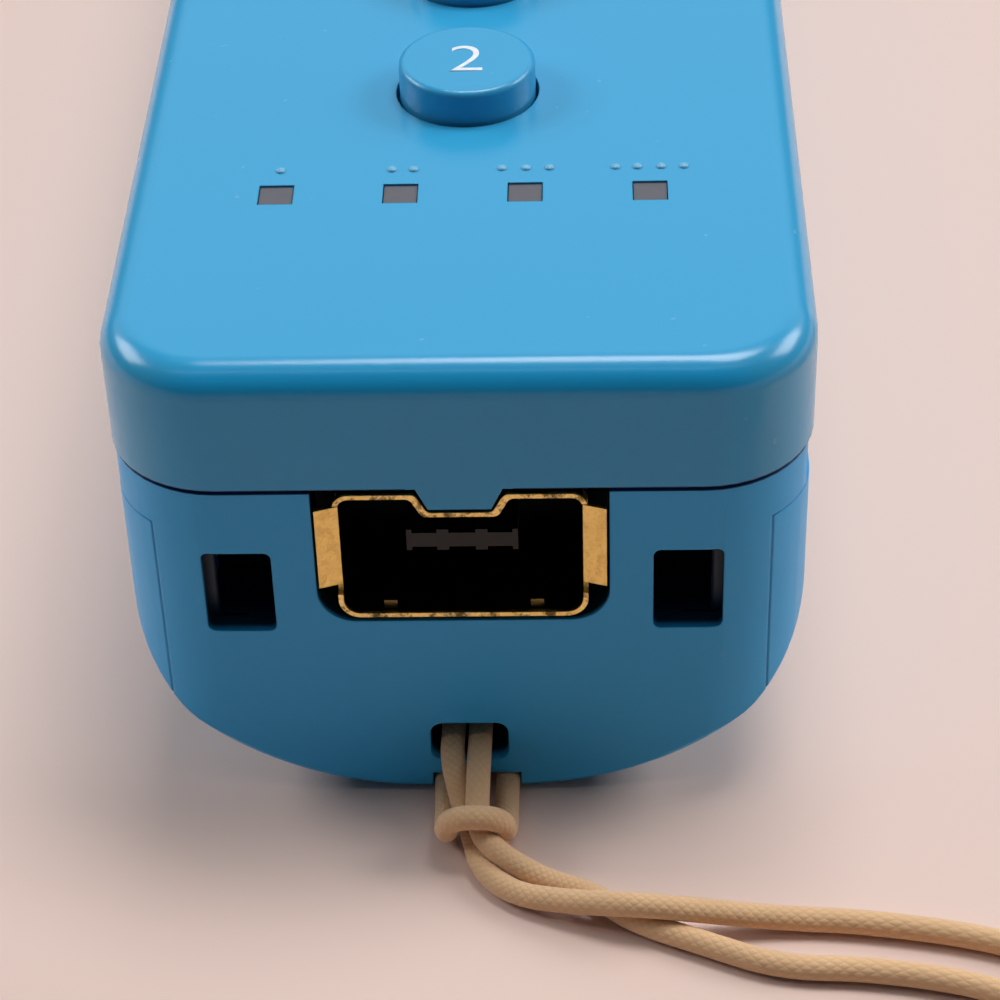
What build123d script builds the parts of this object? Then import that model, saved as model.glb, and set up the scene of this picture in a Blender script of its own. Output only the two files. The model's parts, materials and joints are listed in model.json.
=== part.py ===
"""Motion controller wand: two shells, buttons, trigger, works inside and its wrist strap.

X runs across the wand, Y from the strap end to the nose and Z up, with the buttons on top.
The origin is under the middle of the wand, on the surface that it lies on.
"""

import os
from math import atan2, cos, degrees, radians, sin, tan

from build123d import *

# Whole wand
length = 148.0
width = 36.2
body_height = 28.2
corner_radius = 5.8
wall = 1.8
overrun = 1.0
fit_gap = 0.05
free_gap = 0.3

# Front case
front_depth = 7.3
top_edge_radius = 1.7
seam_gap = 0.3
key_tab_top_half = 2.2
key_tab_half = 1.6
key_tab_drop = 1.15

# Rear case: the battery end, the shoulder and the nose
rear_step = 0.12
underside_flat = 2.5
underside_turn = 7.5
underside_rise = 11.6
tail_edge_radius = 1.2
shoulder_from_nose = 60.0
shoulder_length = 11.0
nose_underside = 7.0
nose_flat = 6.0
nose_turn = 5.5
nose_rise = 8.0
nose_edge_radius = 2.5
end_wall = 2.5
lip_height = 1.0
lip_wall = 0.8
side_strip_start = 3.6
side_strip_depth = 0.25

# Battery cover
cover_wall = 1.3
cover_gap = 0.3
cover_tail = 1.35
cover_from_shoulder = 4.0
cover_top_drop = 2.8
cover_notch_half = 11.4
cover_notch_depth = 8.0
cover_seam = 0.1
grip_groove_width = 0.6
grip_groove_depth = 0.3
grip_groove_pitch = 1.5
grip_groove_half = 5.0
grip_groove_count = 4
grip_groove_start = 10.5

# Batteries and their contacts
cell_gap = 0.4
cell_nub_radius = 2.7
cell_nub_length = 1.2
cell_height = 10.1
cell_edge = 0.6
bay_start = 12.0
bay_end_room = 3.0
bay_side_room = 0.4
bay_wall = 1.58
bay_from_shoulder = 19.6
spring_wire_radius = 0.35
spring_turns = 3
spring_cone_angle = 12
spring_base_radius = 3.4
plate_thickness = 0.3
plate_width = 9.0

# Main board and gyro board
board_bottom = 19.5
board_thickness = 1.2
board_side_room = 0.5
board_start = 12.0
board_from_nose = 8.0
gyro_from_bay = 4.6
gyro_length = 12.0
gyro_width = 12.0
gyro_thickness = 1.0
gyro_drop = 3.3
gyro_plug_width = 8.0
gyro_plug_length = 3.0
gyro_room = 1.5

# Case screws
tail_screw_from_side = 5.7
tail_screw_from_tail = 9.2
tail_screw_seat = 8.0
nose_screw_from_side = 5.2
nose_screw_from_nose = 5.2
nose_screw_seat = 10.5
screw_radius = 1.0
screw_head_radius = 1.9
screw_head_height = 1.3
screw_boss_radius = 2.2
screw_seat_radius = 2.8
screw_bite = 3.5

# Press buttons
button_clearance = 0.2
flange_overlap = 1.1
flange_thickness = 0.8
flange_play = 0.1
button_travel = 0.9
stem_radius = 1.5
button_edge = 0.35
number_button_radius = 3.78
number_button_rise = 2.0
small_button_radius = 2.9
small_button_rise = 1.0
small_button_edge = 0.3
home_button_rise = 0.5
small_button_from_side = 8.3
a_button_radius = 6.1
a_button_rise = 2.6
a_button_edge = 1.5
power_button_radius = 2.75
power_button_rise = 0.6
power_button_from_side = 7.6
power_button_from_nose = 11.0

# Rows of the face, as shares of the way from the player lights to the power button
button_2_share = 0.0874
button_1_share = 0.1971
speaker_share = 0.3375
small_buttons_share = 0.47
a_button_share = 0.6729
dpad_share = 0.8551

# Direction pad
dpad_span = 17.4
dpad_arm = 5.7
dpad_rise = 1.9
dpad_gap = 0.4
dpad_edge = 0.5
dpad_corner = 0.9
dpad_dish_radius = 9.0
dpad_dish_depth = 0.35
dpad_flange_radius = 9.9
dpad_flange_drop = 0.85
dpad_stem_radius = 1.2
dpad_stem_circle_radius = 6.2
dpad_stem_length = 1.45
pivot_radius = 1.4
pivot_socket_depth = 0.6
pivot_length = 1.9

# Rubber pads
pad_thickness = 0.8
dome_height = 1.1
dome_radius = 2.4
pad_margin = 2.0
pivot_dome_height = 1.5

# Speaker and its holes
speaker_radius = 7.5
speaker_height = 3.4
speaker_cone_radius = 6.4
speaker_cone_depth = 1.2
magnet_radius = 4.5
magnet_height = 1.5
grille_hole_radius = 0.45
grille_pitch = 1.9
grille_rows = (3, 5, 5, 5, 3)

# Player lights
light_from_tail = 16.25
light_pitch = 6.6
light_count = 4
light_window = 1.85
light_inset = 0.1
light_bar_thickness = 0.8
light_bar_length = 3.0
chip_size = 1.6
chip_height = 0.8

# Socket at the strap end
socket_half = 7.55
socket_drop = 15.9
socket_corner = 2.0
socket_depth = 10.5
shell_half = 6.45
shell_top_drop = 7.55
shell_bottom_drop = 15.58
shell_top_corner = 0.85
shell_bottom_corner = 1.15
shell_notch_corner = 0.42
shell_thickness = 0.27
shell_notch_half = 1.65
shell_notch_slope = 0.6
shell_notch_drop = 1.15
shell_mouth = 0.05
housing_start = 2.5
flare_reach = 1.0
flare_depth = 0.45
flare_top_drop = 8.6
flare_bottom_drop = 13.65
flare_slit = 0.38
tongue_half = 2.87
tongue_drop = 11.0
tongue_thickness = 0.9
tongue_start = 1.3
tongue_bump_across = 1.0
tongue_bump_half = 0.31
tongue_bump_rise = 0.22
tongue_end_half = 0.14
socket_back = 3.0
contact_width = 0.7
contact_thickness = 0.12
contact_spacing = 1.9
contact_start = 1.9
shell_rib_across = 3.8
shell_rib_width = 0.7
shell_rib_height = 0.5

# Strap-lock holes and the strap's slot
lock_hole_from_side = 6.52
lock_hole_drop = 13.9
lock_hole_width = 3.6
lock_hole_height = 5.2
lock_hole_corner = 0.4
lock_cavity_depth = 3.7
lock_cavity_margin = 0.5
slot_width = 4.17
slot_bottom = 2.4
slot_height = 2.67
slot_corner = 0.7
strap_bar_depth = 3.2
strap_hole_end = 7.2
strap_groove_half = 2.39
strap_groove_shift = 0.32
strap_groove_height = 1.45

# Sync button
sync_from_tail = 13.6
sync_radius = 1.4
sync_rise = 0.9
sync_flange_radius = 2.2
sync_flange_thickness = 0.7
sync_travel = 0.5

# Trigger, its pin, spring and switch
trigger_width = 18.6
trigger_slot_from_nose = 22.4
trigger_slot_length = 27.7
trigger_side_gap = 0.35
trigger_end_gap = 0.4
trigger_length = 25.0
trigger_tip_offset = 1.6
trigger_tip_height = 1.6
trigger_sag_offset = 12.2
trigger_sag_height = 5.6
trigger_hook_height = 4.4
trigger_deck_height = 13.0
trigger_deck_offset = 7.7
trigger_top = 17.8
trigger_edge = 0.8
pin_offset = 3.2
pin_height = 15.2
pin_radius = 1.0
ear_gap = 0.4
ear_thickness = 1.5
ear_half_length = 2.6
trigger_switch_offset = 19.2
trigger_switch_size = 6.0
trigger_switch_drop = 4.0
trigger_spring_offset = 11.7
trigger_spring_radius = 2.2
trigger_spring_wire = 0.3
trigger_spring_turns = 5

# Rumble motor
motor_from_nose = 16.8
motor_height = 14.5
motor_radius = 4.6
motor_from_side = 7.1
motor_shaft_radius = 0.75
motor_shaft_length = 7.5
rumble_weight_gap = 1.5
rumble_weight_length = 5.0
rumble_weight_from_side = 10.1
rumble_weight_radius = 4.4
rumble_hub_radius = 1.9

# Window and camera at the nose
window_from_side = 7.6
window_bottom = 9.5
window_corner = 1.2
window_inset = 0.25
window_flange = 0.8
window_flange_bottom = 10.4
camera_half = 4.25
camera_length = 5.6
camera_from_nose = 10.5
camera_bottom = 9.8
lens_height = 14.2
lens_radius = 2.8
lens_length = 2.0

# Wrist strap: the cord, its joiner, the band and its slider
cord_radius = 0.65
joiner_start = 43.0
joiner_length = 12.0
joiner_width = 7.4
joiner_height = 12.4
joiner_across = -19.0
joiner_edge = 1.2
joiner_grip = 3.0
cord_exit_height = 2.6
cord_pair_half = 1.4
band_width = 10.0
band_thickness = 1.5
band_lift = 1.2
band_pair_half = 1.0
band_far = 85.0
band_near = 69.0
band_end = 76.0
band_far_radius = 11.0
band_turn_radius = 7.9
band_near_radius = 5.0
slider_start = 55.8
slider_length = 5.5
slider_width = 8.4
slider_height = 12.4
slider_slot_gap = 0.35
slider_edge = 1.0

# Places worked out from the sizes above
tail = -length / 2
nose = length / 2
seam_z = body_height - front_depth
rear_top = seam_z - seam_gap / 2
front_bottom = seam_z + seam_gap / 2
ceiling = body_height - wall
rear_half = width / 2 - rear_step
board_top = board_bottom + board_thickness
flange_top = ceiling - flange_play
flange_bottom = flange_top - flange_thickness
dome_top = board_top + pad_thickness + dome_height
stem_bottom = dome_top + button_travel + fit_gap
cover_top = seam_z - cover_top_drop
shoulder_start = length - shoulder_from_nose
shoulder_end = shoulder_start + shoulder_length
cover_end = shoulder_start - cover_from_shoulder
bay_end = shoulder_start - bay_from_shoulder
bay_half = rear_half - cover_wall - cover_gap - bay_wall
cell_radius = (bay_half - bay_side_room - cell_gap / 2) / 2
cell_spacing = 2 * cell_radius + cell_gap
cell_total = bay_end - bay_start - 2 * bay_end_room
cell_length = cell_total - cell_nub_length
bay_top = cell_height + cell_radius + free_gap
board_half = width / 2 - wall - lip_wall - board_side_room
gyro_start = bay_end + gyro_from_bay
trigger_slot_end = nose - trigger_slot_from_nose
trigger_slot_start = trigger_slot_end - trigger_slot_length
trigger_front = trigger_slot_end - trigger_end_gap
trigger_back = trigger_front - trigger_length
pin_y = trigger_front - pin_offset
switch_y = trigger_front - trigger_switch_offset
spring_y = trigger_front - trigger_spring_offset
motor_y = nose - motor_from_nose
motor_start = motor_from_side - width / 2
weight_end = width / 2 - rumble_weight_from_side
motor_end = weight_end - rumble_weight_length - rumble_weight_gap
window_half = width / 2 - window_from_side
lock_hole_across = width / 2 - lock_hole_from_side
tail_screws = [(side * (width / 2 - tail_screw_from_side), tail + tail_screw_from_tail) for side in (-1, 1)]
nose_screws = [(side * (width / 2 - nose_screw_from_side), nose - nose_screw_from_nose) for side in (-1, 1)]
screw_places = tail_screws + nose_screws

os.makedirs("parts", exist_ok=True)


def save(piece, name):
    """Label a finished piece and write its STEP file."""
    piece.part.label = name
    export_step(piece.part, f"parts/{name}.step")


def belly(y, underside, rise, turn_radius, flat, inset=0.0):
    """Rear case section at y: a flat underside, then two tangent arcs a side, up to the seam."""
    across = rear_half - turn_radius - flat
    under_radius = (across**2 + rise**2 - turn_radius**2) / (2 * (rise - turn_radius))
    under_angle = degrees(atan2(across, under_radius - rise))
    with BuildSketch(Plane.XZ.offset(-y)) as section:
        with BuildLine():
            base = Line((0, underside + inset), (flat, underside + inset))
            under = JernArc(base @ 1, (1, 0), under_radius - inset, under_angle)
            turn = JernArc(under @ 1, under % 1, turn_radius - inset, 90 - under_angle)
            Polyline(turn @ 1, (rear_half - inset, rear_top), (0, rear_top))
            mirror(about=Plane.YZ)
        make_face()
    return section.sketch


def body_section(y, nose_share, inset=0.0):
    """Rear case section between the battery end, share 0, and the nose, share 1."""

    def between(tail_size, nose_size):
        return tail_size + (nose_size - tail_size) * nose_share

    return belly(
        y,
        between(0, nose_underside),
        between(underside_rise, nose_rise),
        between(underside_turn, nose_turn),
        between(underside_flat, nose_flat),
        inset,
    )


def rounding(radius):
    """Steps of a quarter round: distance from the end and inset of the section there."""
    return [(radius * (1 - cos(radians(a))), radius * (1 - sin(radians(a)))) for a in (0, 30, 60, 90)]


def inner_form(inset):
    """The battery end drawn in by an even inset, for the room inside a wall."""
    with BuildPart() as form:
        add(body_section(tail, 0, inset))
        extrude(amount=shoulder_start, dir=(0, 1, 0))
        with BuildSketch():
            RectangleRounded(2 * (rear_half - inset), length - 2 * rear_step - 2 * inset,
                             corner_radius - rear_step - inset)
        extrude(amount=body_height, mode=Mode.INTERSECT)
    return form.part


# Outer form of the lower body, shared by the rear case and the battery cover
with BuildPart() as rear_form:
    for along, inset in rounding(tail_edge_radius):
        add(body_section(tail + along, 0, inset))
    loft()
    add(body_section(tail + tail_edge_radius, 0))
    extrude(amount=shoulder_start - tail_edge_radius, dir=(0, 1, 0))
    for step in range(5):
        share = step / 4
        add(body_section(tail + shoulder_start + (shoulder_end - shoulder_start) * share,
                         (1 - cos(radians(180 * share))) / 2))
    loft()
    add(body_section(tail + shoulder_end, 1))
    extrude(amount=length - shoulder_end - nose_edge_radius, dir=(0, 1, 0))
    for along, inset in reversed(rounding(nose_edge_radius)):
        add(body_section(nose - along, 1, inset))
    loft()
    with BuildSketch():
        RectangleRounded(2 * rear_half, length - 2 * rear_step, corner_radius - rear_step)
    extrude(amount=rear_top, mode=Mode.INTERSECT)

# Front case: a rounded tray, open below
light_y = tail + light_from_tail
power_y = nose - power_button_from_nose
button_2_y, button_1_y, speaker_y, row_y, a_button_y, dpad_y = [
    light_y + share * (power_y - light_y)
    for share in (button_2_share, button_1_share, speaker_share, small_buttons_share, a_button_share, dpad_share)
]
side_button_x = width / 2 - small_button_from_side
power_x = power_button_from_side - width / 2
round_buttons = {
    "button_1": (0, button_1_y, number_button_radius, number_button_rise, button_edge),
    "button_2": (0, button_2_y, number_button_radius, number_button_rise, button_edge),
    "minus_button": (-side_button_x, row_y, small_button_radius, small_button_rise, small_button_edge),
    "home_button": (0, row_y, small_button_radius, home_button_rise, small_button_edge),
    "plus_button": (side_button_x, row_y, small_button_radius, small_button_rise, small_button_edge),
    "a_button": (0, a_button_y, a_button_radius, a_button_rise, a_button_edge),
    "power_button": (power_x, power_y, power_button_radius, power_button_rise, small_button_edge),
}
grille_places = [
    ((column - (count - 1) / 2) * grille_pitch,
     speaker_y + (row - (len(grille_rows) - 1) / 2) * grille_pitch)
    for row, count in enumerate(grille_rows)
    for column in range(count)
]
light_places = [
    ((i - (light_count - 1) / 2) * light_pitch, light_y) for i in range(light_count)
]
with BuildPart() as front_case:
    with BuildSketch(Plane.XY.offset(front_bottom)):
        RectangleRounded(width, length, corner_radius)
    extrude(amount=body_height - front_bottom)
    fillet(front_case.faces().sort_by(Axis.Z)[-1].edges(), radius=top_edge_radius)
    with BuildSketch(Plane.XY.offset(front_bottom)):
        RectangleRounded(width - 2 * wall, length - 2 * wall, corner_radius - wall)
    extrude(amount=ceiling - front_bottom, mode=Mode.SUBTRACT)
    with BuildSketch(Plane.XY.offset(rear_top)):
        with Locations(*screw_places):
            Circle(screw_boss_radius)
    extrude(amount=ceiling - rear_top)
    with BuildSketch(Plane.XY.offset(rear_top)):
        with Locations(*screw_places):
            Circle(screw_radius + fit_gap)
    extrude(amount=screw_bite, mode=Mode.SUBTRACT)
    with BuildSketch(Plane.XY.offset(body_height)):
        for x, y, radius, _, _ in round_buttons.values():
            with Locations((x, y)):
                Circle(radius + button_clearance)
        with Locations(*grille_places):
            Circle(grille_hole_radius)
        with Locations(*light_places):
            Rectangle(light_window, light_window)
    extrude(amount=-wall, mode=Mode.SUBTRACT)
    with BuildSketch(Plane.XY.offset(body_height)) as dpad_hole:
        with Locations((0, dpad_y)):
            Rectangle(dpad_span + 2 * dpad_gap, dpad_arm + 2 * dpad_gap)
            Rectangle(dpad_arm + 2 * dpad_gap, dpad_span + 2 * dpad_gap)
        fillet(dpad_hole.vertices(), radius=dpad_corner)
    extrude(amount=-wall, mode=Mode.SUBTRACT)
    with BuildSketch(Plane.XZ.offset(-tail)):
        with BuildLine():
            Polyline((-key_tab_top_half, front_bottom), (-key_tab_half, seam_z - key_tab_drop),
                     (key_tab_half, seam_z - key_tab_drop), (key_tab_top_half, front_bottom), close=True)
        make_face()
    extrude(amount=wall, dir=(0, 1, 0))
save(front_case, "front_case")

# Rear case: the lower shell with its end wall, battery bay, board seat and trigger slot
socket_z = body_height - socket_drop
lock_hole_z = body_height - lock_hole_drop
with BuildPart() as nose_room:
    add(body_section(trigger_slot_start, 1, wall))
    extrude(amount=length, dir=(0, 1, 0))
    with BuildSketch():
        RectangleRounded(width - 2 * wall, length - 2 * wall, corner_radius - wall)
    extrude(amount=body_height, mode=Mode.INTERSECT)

with BuildPart() as cover_zone:
    add(rear_form.part)
    with BuildSketch():
        with Locations((0, tail + (cover_tail + cover_end) / 2)):
            Rectangle(width, cover_end - cover_tail)
    extrude(amount=cover_top, mode=Mode.INTERSECT)
    add(inner_form(cover_wall + cover_gap), mode=Mode.SUBTRACT)
    with BuildSketch():
        with Locations((0, tail + cover_notch_depth / 2)):
            Rectangle(2 * cover_notch_half, cover_notch_depth)
    extrude(amount=cover_top, mode=Mode.SUBTRACT)

with BuildPart() as rear_case:
    add(rear_form.part)
    # Seat for the board, and the lip that closes the seam
    with BuildSketch(Plane.XY.offset(board_bottom)):
        with Locations((0, end_wall / 2)):
            RectangleRounded(width - 2 * (wall + lip_wall), length - end_wall - 2 * wall,
                             corner_radius - wall - lip_wall)
    extrude(amount=front_depth, mode=Mode.SUBTRACT)
    with BuildSketch(Plane.XY.offset(rear_top)):
        RectangleRounded(width - 2 * (wall + fit_gap), length - 2 * (wall + fit_gap),
                         corner_radius - wall - fit_gap)
        RectangleRounded(width - 2 * (wall + lip_wall), length - 2 * (wall + lip_wall),
                         corner_radius - wall - lip_wall, mode=Mode.SUBTRACT)
    extrude(amount=lip_height)
    add(nose_room.part, mode=Mode.SUBTRACT)
    # Screw columns: on the shell at the nose, on the board's seat at the strap end
    with BuildSketch(Plane.XY.offset(nose_screw_seat - wall / 2)):
        with Locations(*nose_screws):
            Circle(screw_seat_radius)
    extrude(amount=2 * wall)
    with BuildSketch(Plane.XY.offset(nose_screw_seat)):
        with Locations(*nose_screws):
            Circle(screw_boss_radius)
    extrude(amount=rear_top - nose_screw_seat)
    with BuildSketch(Plane.XY.offset(board_bottom)):
        with Locations(*tail_screws):
            Circle(screw_boss_radius)
    extrude(amount=rear_top - board_bottom)
    with BuildSketch():
        with Locations(*screw_places):
            Circle(screw_radius + fit_gap)
    extrude(amount=body_height, mode=Mode.SUBTRACT)
    for places, seat in ((tail_screws, tail_screw_seat), (nose_screws, nose_screw_seat)):
        with BuildSketch():
            with Locations(*places):
                Circle(screw_head_radius + button_clearance)
        extrude(amount=seat, mode=Mode.SUBTRACT)
    # Battery bay, open below
    with BuildSketch():
        with Locations((0, tail + (bay_start + bay_end) / 2)):
            Rectangle(2 * bay_half, bay_end - bay_start)
    extrude(amount=bay_top, mode=Mode.SUBTRACT)
    # Room for the gyro board
    with BuildSketch(Plane.XY.offset(board_bottom)):
        with Locations((0, tail + gyro_start + gyro_length / 2)):
            Rectangle(gyro_width + 2 * gyro_room, gyro_length + 2 * gyro_room)
    extrude(amount=-(gyro_drop + gyro_thickness + gyro_room), mode=Mode.SUBTRACT)
    # Socket opening in the end wall
    with BuildSketch(Plane.XZ.offset(-tail)) as socket_opening:
        with Locations((0, socket_z)):
            Rectangle(2 * socket_half, body_height - socket_z, align=(Align.CENTER, Align.MIN))
        fillet(socket_opening.vertices().group_by(Axis.Y)[0], radius=socket_corner)
    extrude(amount=socket_depth, dir=(0, 1, 0), mode=Mode.SUBTRACT)
    # Strap-lock holes, with the room behind them
    for side in (-1, 1):
        with BuildSketch(Plane.XZ.offset(-tail)):
            with Locations((side * lock_hole_across, lock_hole_z)):
                RectangleRounded(lock_hole_width, lock_hole_height, lock_hole_corner)
        extrude(amount=end_wall, dir=(0, 1, 0), mode=Mode.SUBTRACT)
        with BuildSketch(Plane.XZ.offset(-(tail + end_wall))):
            with Locations((side * lock_hole_across, lock_hole_z)):
                Rectangle(lock_hole_width + 2 * lock_cavity_margin, lock_hole_height + 2 * lock_cavity_margin)
        extrude(amount=lock_cavity_depth, dir=(0, 1, 0), mode=Mode.SUBTRACT)
    # Strap slot, the hole behind it and the groove under the bar between them
    with BuildSketch(Plane.XZ.offset(-tail)):
        with Locations((0, slot_bottom + slot_height / 2)):
            RectangleRounded(slot_width, slot_height, slot_corner)
    extrude(amount=strap_hole_end, dir=(0, 1, 0), mode=Mode.SUBTRACT)
    with BuildSketch():
        with Locations((strap_groove_shift, tail + (strap_bar_depth + strap_hole_end) / 2)):
            Rectangle(2 * strap_groove_half, strap_hole_end - strap_bar_depth)
    extrude(amount=slot_bottom + slot_height, mode=Mode.SUBTRACT)
    with BuildSketch():
        with Locations((strap_groove_shift, tail + strap_bar_depth / 2)):
            Rectangle(2 * strap_groove_half, strap_bar_depth)
    extrude(amount=strap_groove_height, mode=Mode.SUBTRACT)
    # Hole for the sync button in the roof of the battery bay, and room for its flange
    with BuildSketch():
        with Locations((0, tail + sync_from_tail)):
            Circle(sync_radius + button_clearance)
    extrude(amount=board_bottom, mode=Mode.SUBTRACT)
    with BuildSketch(Plane.XY.offset(board_bottom)):
        with Locations((0, tail + sync_from_tail)):
            Circle(sync_flange_radius + button_clearance)
    extrude(amount=-(sync_travel + sync_flange_thickness + 2 * fit_gap), mode=Mode.SUBTRACT)
    # Trigger slot, and ears that carry its pin
    with BuildSketch():
        with Locations((0, trigger_slot_end - trigger_slot_length / 2)):
            Rectangle(trigger_width + 2 * trigger_side_gap, trigger_slot_length)
    extrude(amount=nose_underside + wall + overrun, mode=Mode.SUBTRACT)
    for side in (-1, 1):
        with BuildSketch(Plane.XY.offset(nose_underside + wall / 2)):
            with Locations((side * (trigger_width / 2 + ear_gap + ear_thickness / 2), pin_y)):
                Rectangle(ear_thickness, 2 * ear_half_length)
        extrude(amount=pin_height + ear_half_length - nose_underside - wall / 2)
    with BuildSketch(Plane.YZ):
        with Locations((pin_y, pin_height)):
            Circle(pin_radius + fit_gap)
    extrude(amount=width / 2 - wall - overrun, both=True, mode=Mode.SUBTRACT)
    # Window opening in the nose
    with BuildSketch(Plane.XZ.offset(-nose)) as window_opening:
        with Locations((0, window_bottom)):
            Rectangle(2 * window_half, body_height - window_bottom, align=(Align.CENTER, Align.MIN))
        fillet(window_opening.vertices().group_by(Axis.Y)[0], radius=window_corner)
    extrude(amount=wall + overrun, dir=(0, -1, 0), mode=Mode.SUBTRACT)
    # Zone of the battery cover, and the strips above its edges
    add(cover_zone.part, mode=Mode.SUBTRACT)
    for side in (-1, 1):
        with BuildSketch(Plane.XY.offset(cover_top)):
            with Locations((side * rear_half, tail + (side_strip_start + cover_end) / 2)):
                Rectangle(2 * side_strip_depth, cover_end - side_strip_start)
        extrude(amount=rear_top - cover_top, mode=Mode.SUBTRACT)
save(rear_case, "rear_case")

# Battery cover: a trough round the battery end
with BuildPart() as battery_cover:
    add(rear_form.part)
    with BuildSketch():
        with Locations((0, tail + (cover_tail + cover_end) / 2)):
            Rectangle(width, cover_end - cover_tail - 2 * cover_seam)
    extrude(amount=cover_top - cover_seam, mode=Mode.INTERSECT)
    add(inner_form(cover_wall), mode=Mode.SUBTRACT)
    with BuildSketch():
        with Locations((0, tail + cover_notch_depth / 2)):
            Rectangle(2 * (cover_notch_half + cover_seam), cover_notch_depth + 2 * cover_seam)
    extrude(amount=cover_top, mode=Mode.SUBTRACT)
    with BuildSketch():
        with Locations(*[(0, tail + grip_groove_start + i * grip_groove_pitch) for i in range(grip_groove_count)]):
            SlotOverall(2 * grip_groove_half, grip_groove_width)
    extrude(amount=grip_groove_depth, mode=Mode.SUBTRACT)
save(battery_cover, "battery_cover")

# Round buttons, each with a flange under the ceiling and a stem over its dome
for name, (x, y, radius, rise, edge) in round_buttons.items():
    with BuildPart() as button:
        with BuildSketch(Plane.XY.offset(flange_bottom)):
            with Locations((x, y)):
                Circle(radius)
        extrude(amount=body_height + rise - flange_bottom)
        fillet(button.edges().filter_by(GeomType.CIRCLE).sort_by(Axis.Z)[-1], radius=edge)
        with BuildSketch(Plane.XY.offset(flange_bottom)):
            with Locations((x, y)):
                Circle(radius + flange_overlap)
        extrude(amount=flange_thickness)
        with BuildSketch(Plane.XY.offset(stem_bottom)):
            with Locations((x, y)):
                Circle(stem_radius)
        extrude(amount=flange_bottom - stem_bottom)
    save(button, name)

# Direction pad: a dished cross on a round flange, tilting on its pivot
dpad_flange_top = ceiling - dpad_flange_drop
dpad_flange_bottom = dpad_flange_top - flange_thickness
dpad_top = body_height + dpad_rise
with BuildPart() as dpad:
    with BuildSketch(Plane.XY.offset(dpad_flange_bottom)) as cross:
        with Locations((0, dpad_y)):
            Rectangle(dpad_span, dpad_arm)
            Rectangle(dpad_arm, dpad_span)
        fillet(cross.vertices(), radius=dpad_corner)
    extrude(amount=dpad_top - dpad_flange_bottom)
    fillet(dpad.faces().sort_by(Axis.Z)[-1].edges(), radius=dpad_edge)
    dish_radius = (dpad_dish_radius**2 + dpad_dish_depth**2) / (2 * dpad_dish_depth)
    with Locations((0, dpad_y, dpad_top - dpad_dish_depth + dish_radius)):
        Sphere(dish_radius, mode=Mode.SUBTRACT)
    with BuildSketch(Plane.XY.offset(dpad_flange_bottom)):
        with Locations((0, dpad_y)):
            Circle(dpad_flange_radius)
    extrude(amount=flange_thickness)
    with BuildSketch(Plane.XY.offset(dpad_flange_bottom)):
        with Locations((0, dpad_y)):
            with PolarLocations(dpad_stem_circle_radius, 4):
                Circle(dpad_stem_radius)
    extrude(amount=-dpad_stem_length)
    with BuildSketch(Plane.XY.offset(dpad_flange_bottom)):
        with Locations((0, dpad_y)):
            Circle(pivot_radius + free_gap)
    extrude(amount=pivot_socket_depth, mode=Mode.SUBTRACT)
save(dpad, "dpad")

pivot_top = dpad_flange_bottom + pivot_socket_depth - fit_gap * 3
with BuildPart() as dpad_pivot:
    with BuildSketch(Plane.XY.offset(pivot_top)):
        with Locations((0, dpad_y)):
            Circle(pivot_radius)
    extrude(amount=-pivot_length)
    fillet(dpad_pivot.edges().filter_by(GeomType.CIRCLE).sort_by(Axis.Z)[0], radius=pivot_radius / 2)
save(dpad_pivot, "dpad_pivot")


def rubber_pad(places, pad_length, pad_width):
    """A rubber sheet on the board with a tapered dome under each place."""
    centre_x = sum(x for x, _ in places) / len(places)
    centre_y = sum(y for _, y in places) / len(places)
    with BuildPart() as pad:
        with BuildSketch(Plane.XY.offset(board_top)):
            with Locations((centre_x, centre_y)):
                RectangleRounded(pad_width, pad_length, pad_margin)
        extrude(amount=pad_thickness)
        with BuildSketch(Plane.XY.offset(board_top + pad_thickness)):
            with Locations(*places):
                Circle(dome_radius)
        extrude(amount=dome_height, taper=20)
    return pad.part


dome_room = 2 * (dome_radius + pad_margin)
with BuildPart() as number_pad:
    add(rubber_pad([(0, button_1_y), (0, button_2_y)], button_1_y - button_2_y + dome_room, dome_room))
save(number_pad, "number_pad")
with BuildPart() as centre_pad:
    add(rubber_pad([(-side_button_x, row_y), (0, row_y), (side_button_x, row_y)],
                   dome_room, 2 * side_button_x + dome_room))
save(centre_pad, "centre_pad")
with BuildPart() as a_button_pad:
    add(rubber_pad([(0, a_button_y)], dome_room, dome_room))
save(a_button_pad, "a_button_pad")
with BuildPart() as power_pad:
    add(rubber_pad([(power_x, power_y)], dome_room - pad_margin, dome_room - pad_margin))
save(power_pad, "power_pad")
dpad_places = [(dpad_stem_circle_radius * cos(radians(a)), dpad_y + dpad_stem_circle_radius * sin(radians(a)))
               for a in (0, 90, 180, 270)]
with BuildPart() as dpad_pad:
    add(rubber_pad(dpad_places, 2 * dpad_stem_circle_radius + dome_room - pad_margin,
                   2 * dpad_stem_circle_radius + dome_room - pad_margin))
    with BuildSketch(Plane.XY.offset(board_top + pad_thickness)):
        with Locations((0, dpad_y)):
            Circle(pivot_radius)
    extrude(amount=pivot_dome_height)
save(dpad_pad, "dpad_pad")

# Speaker: a shallow cone in its frame, over the magnet
with BuildPart() as speaker:
    with BuildSketch(Plane.XY.offset(ceiling)):
        with Locations((0, speaker_y)):
            Circle(speaker_radius)
    extrude(amount=-speaker_height)
    with BuildSketch(Plane.XY.offset(ceiling)):
        with Locations((0, speaker_y)):
            Circle(speaker_cone_radius)
    extrude(amount=-speaker_cone_depth, taper=45, mode=Mode.SUBTRACT)
    with BuildSketch(Plane.XY.offset(ceiling - speaker_height)):
        with Locations((0, speaker_y)):
            Circle(magnet_radius)
    extrude(amount=-magnet_height)
save(speaker, "speaker")

# Player lights: chips on the board, and a window piece with a post in each square
with BuildPart() as player_lights:
    with BuildSketch(Plane.XY.offset(board_top)):
        with Locations(*light_places):
            Rectangle(chip_size, chip_size)
    extrude(amount=chip_height)
save(player_lights, "player_lights")

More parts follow.
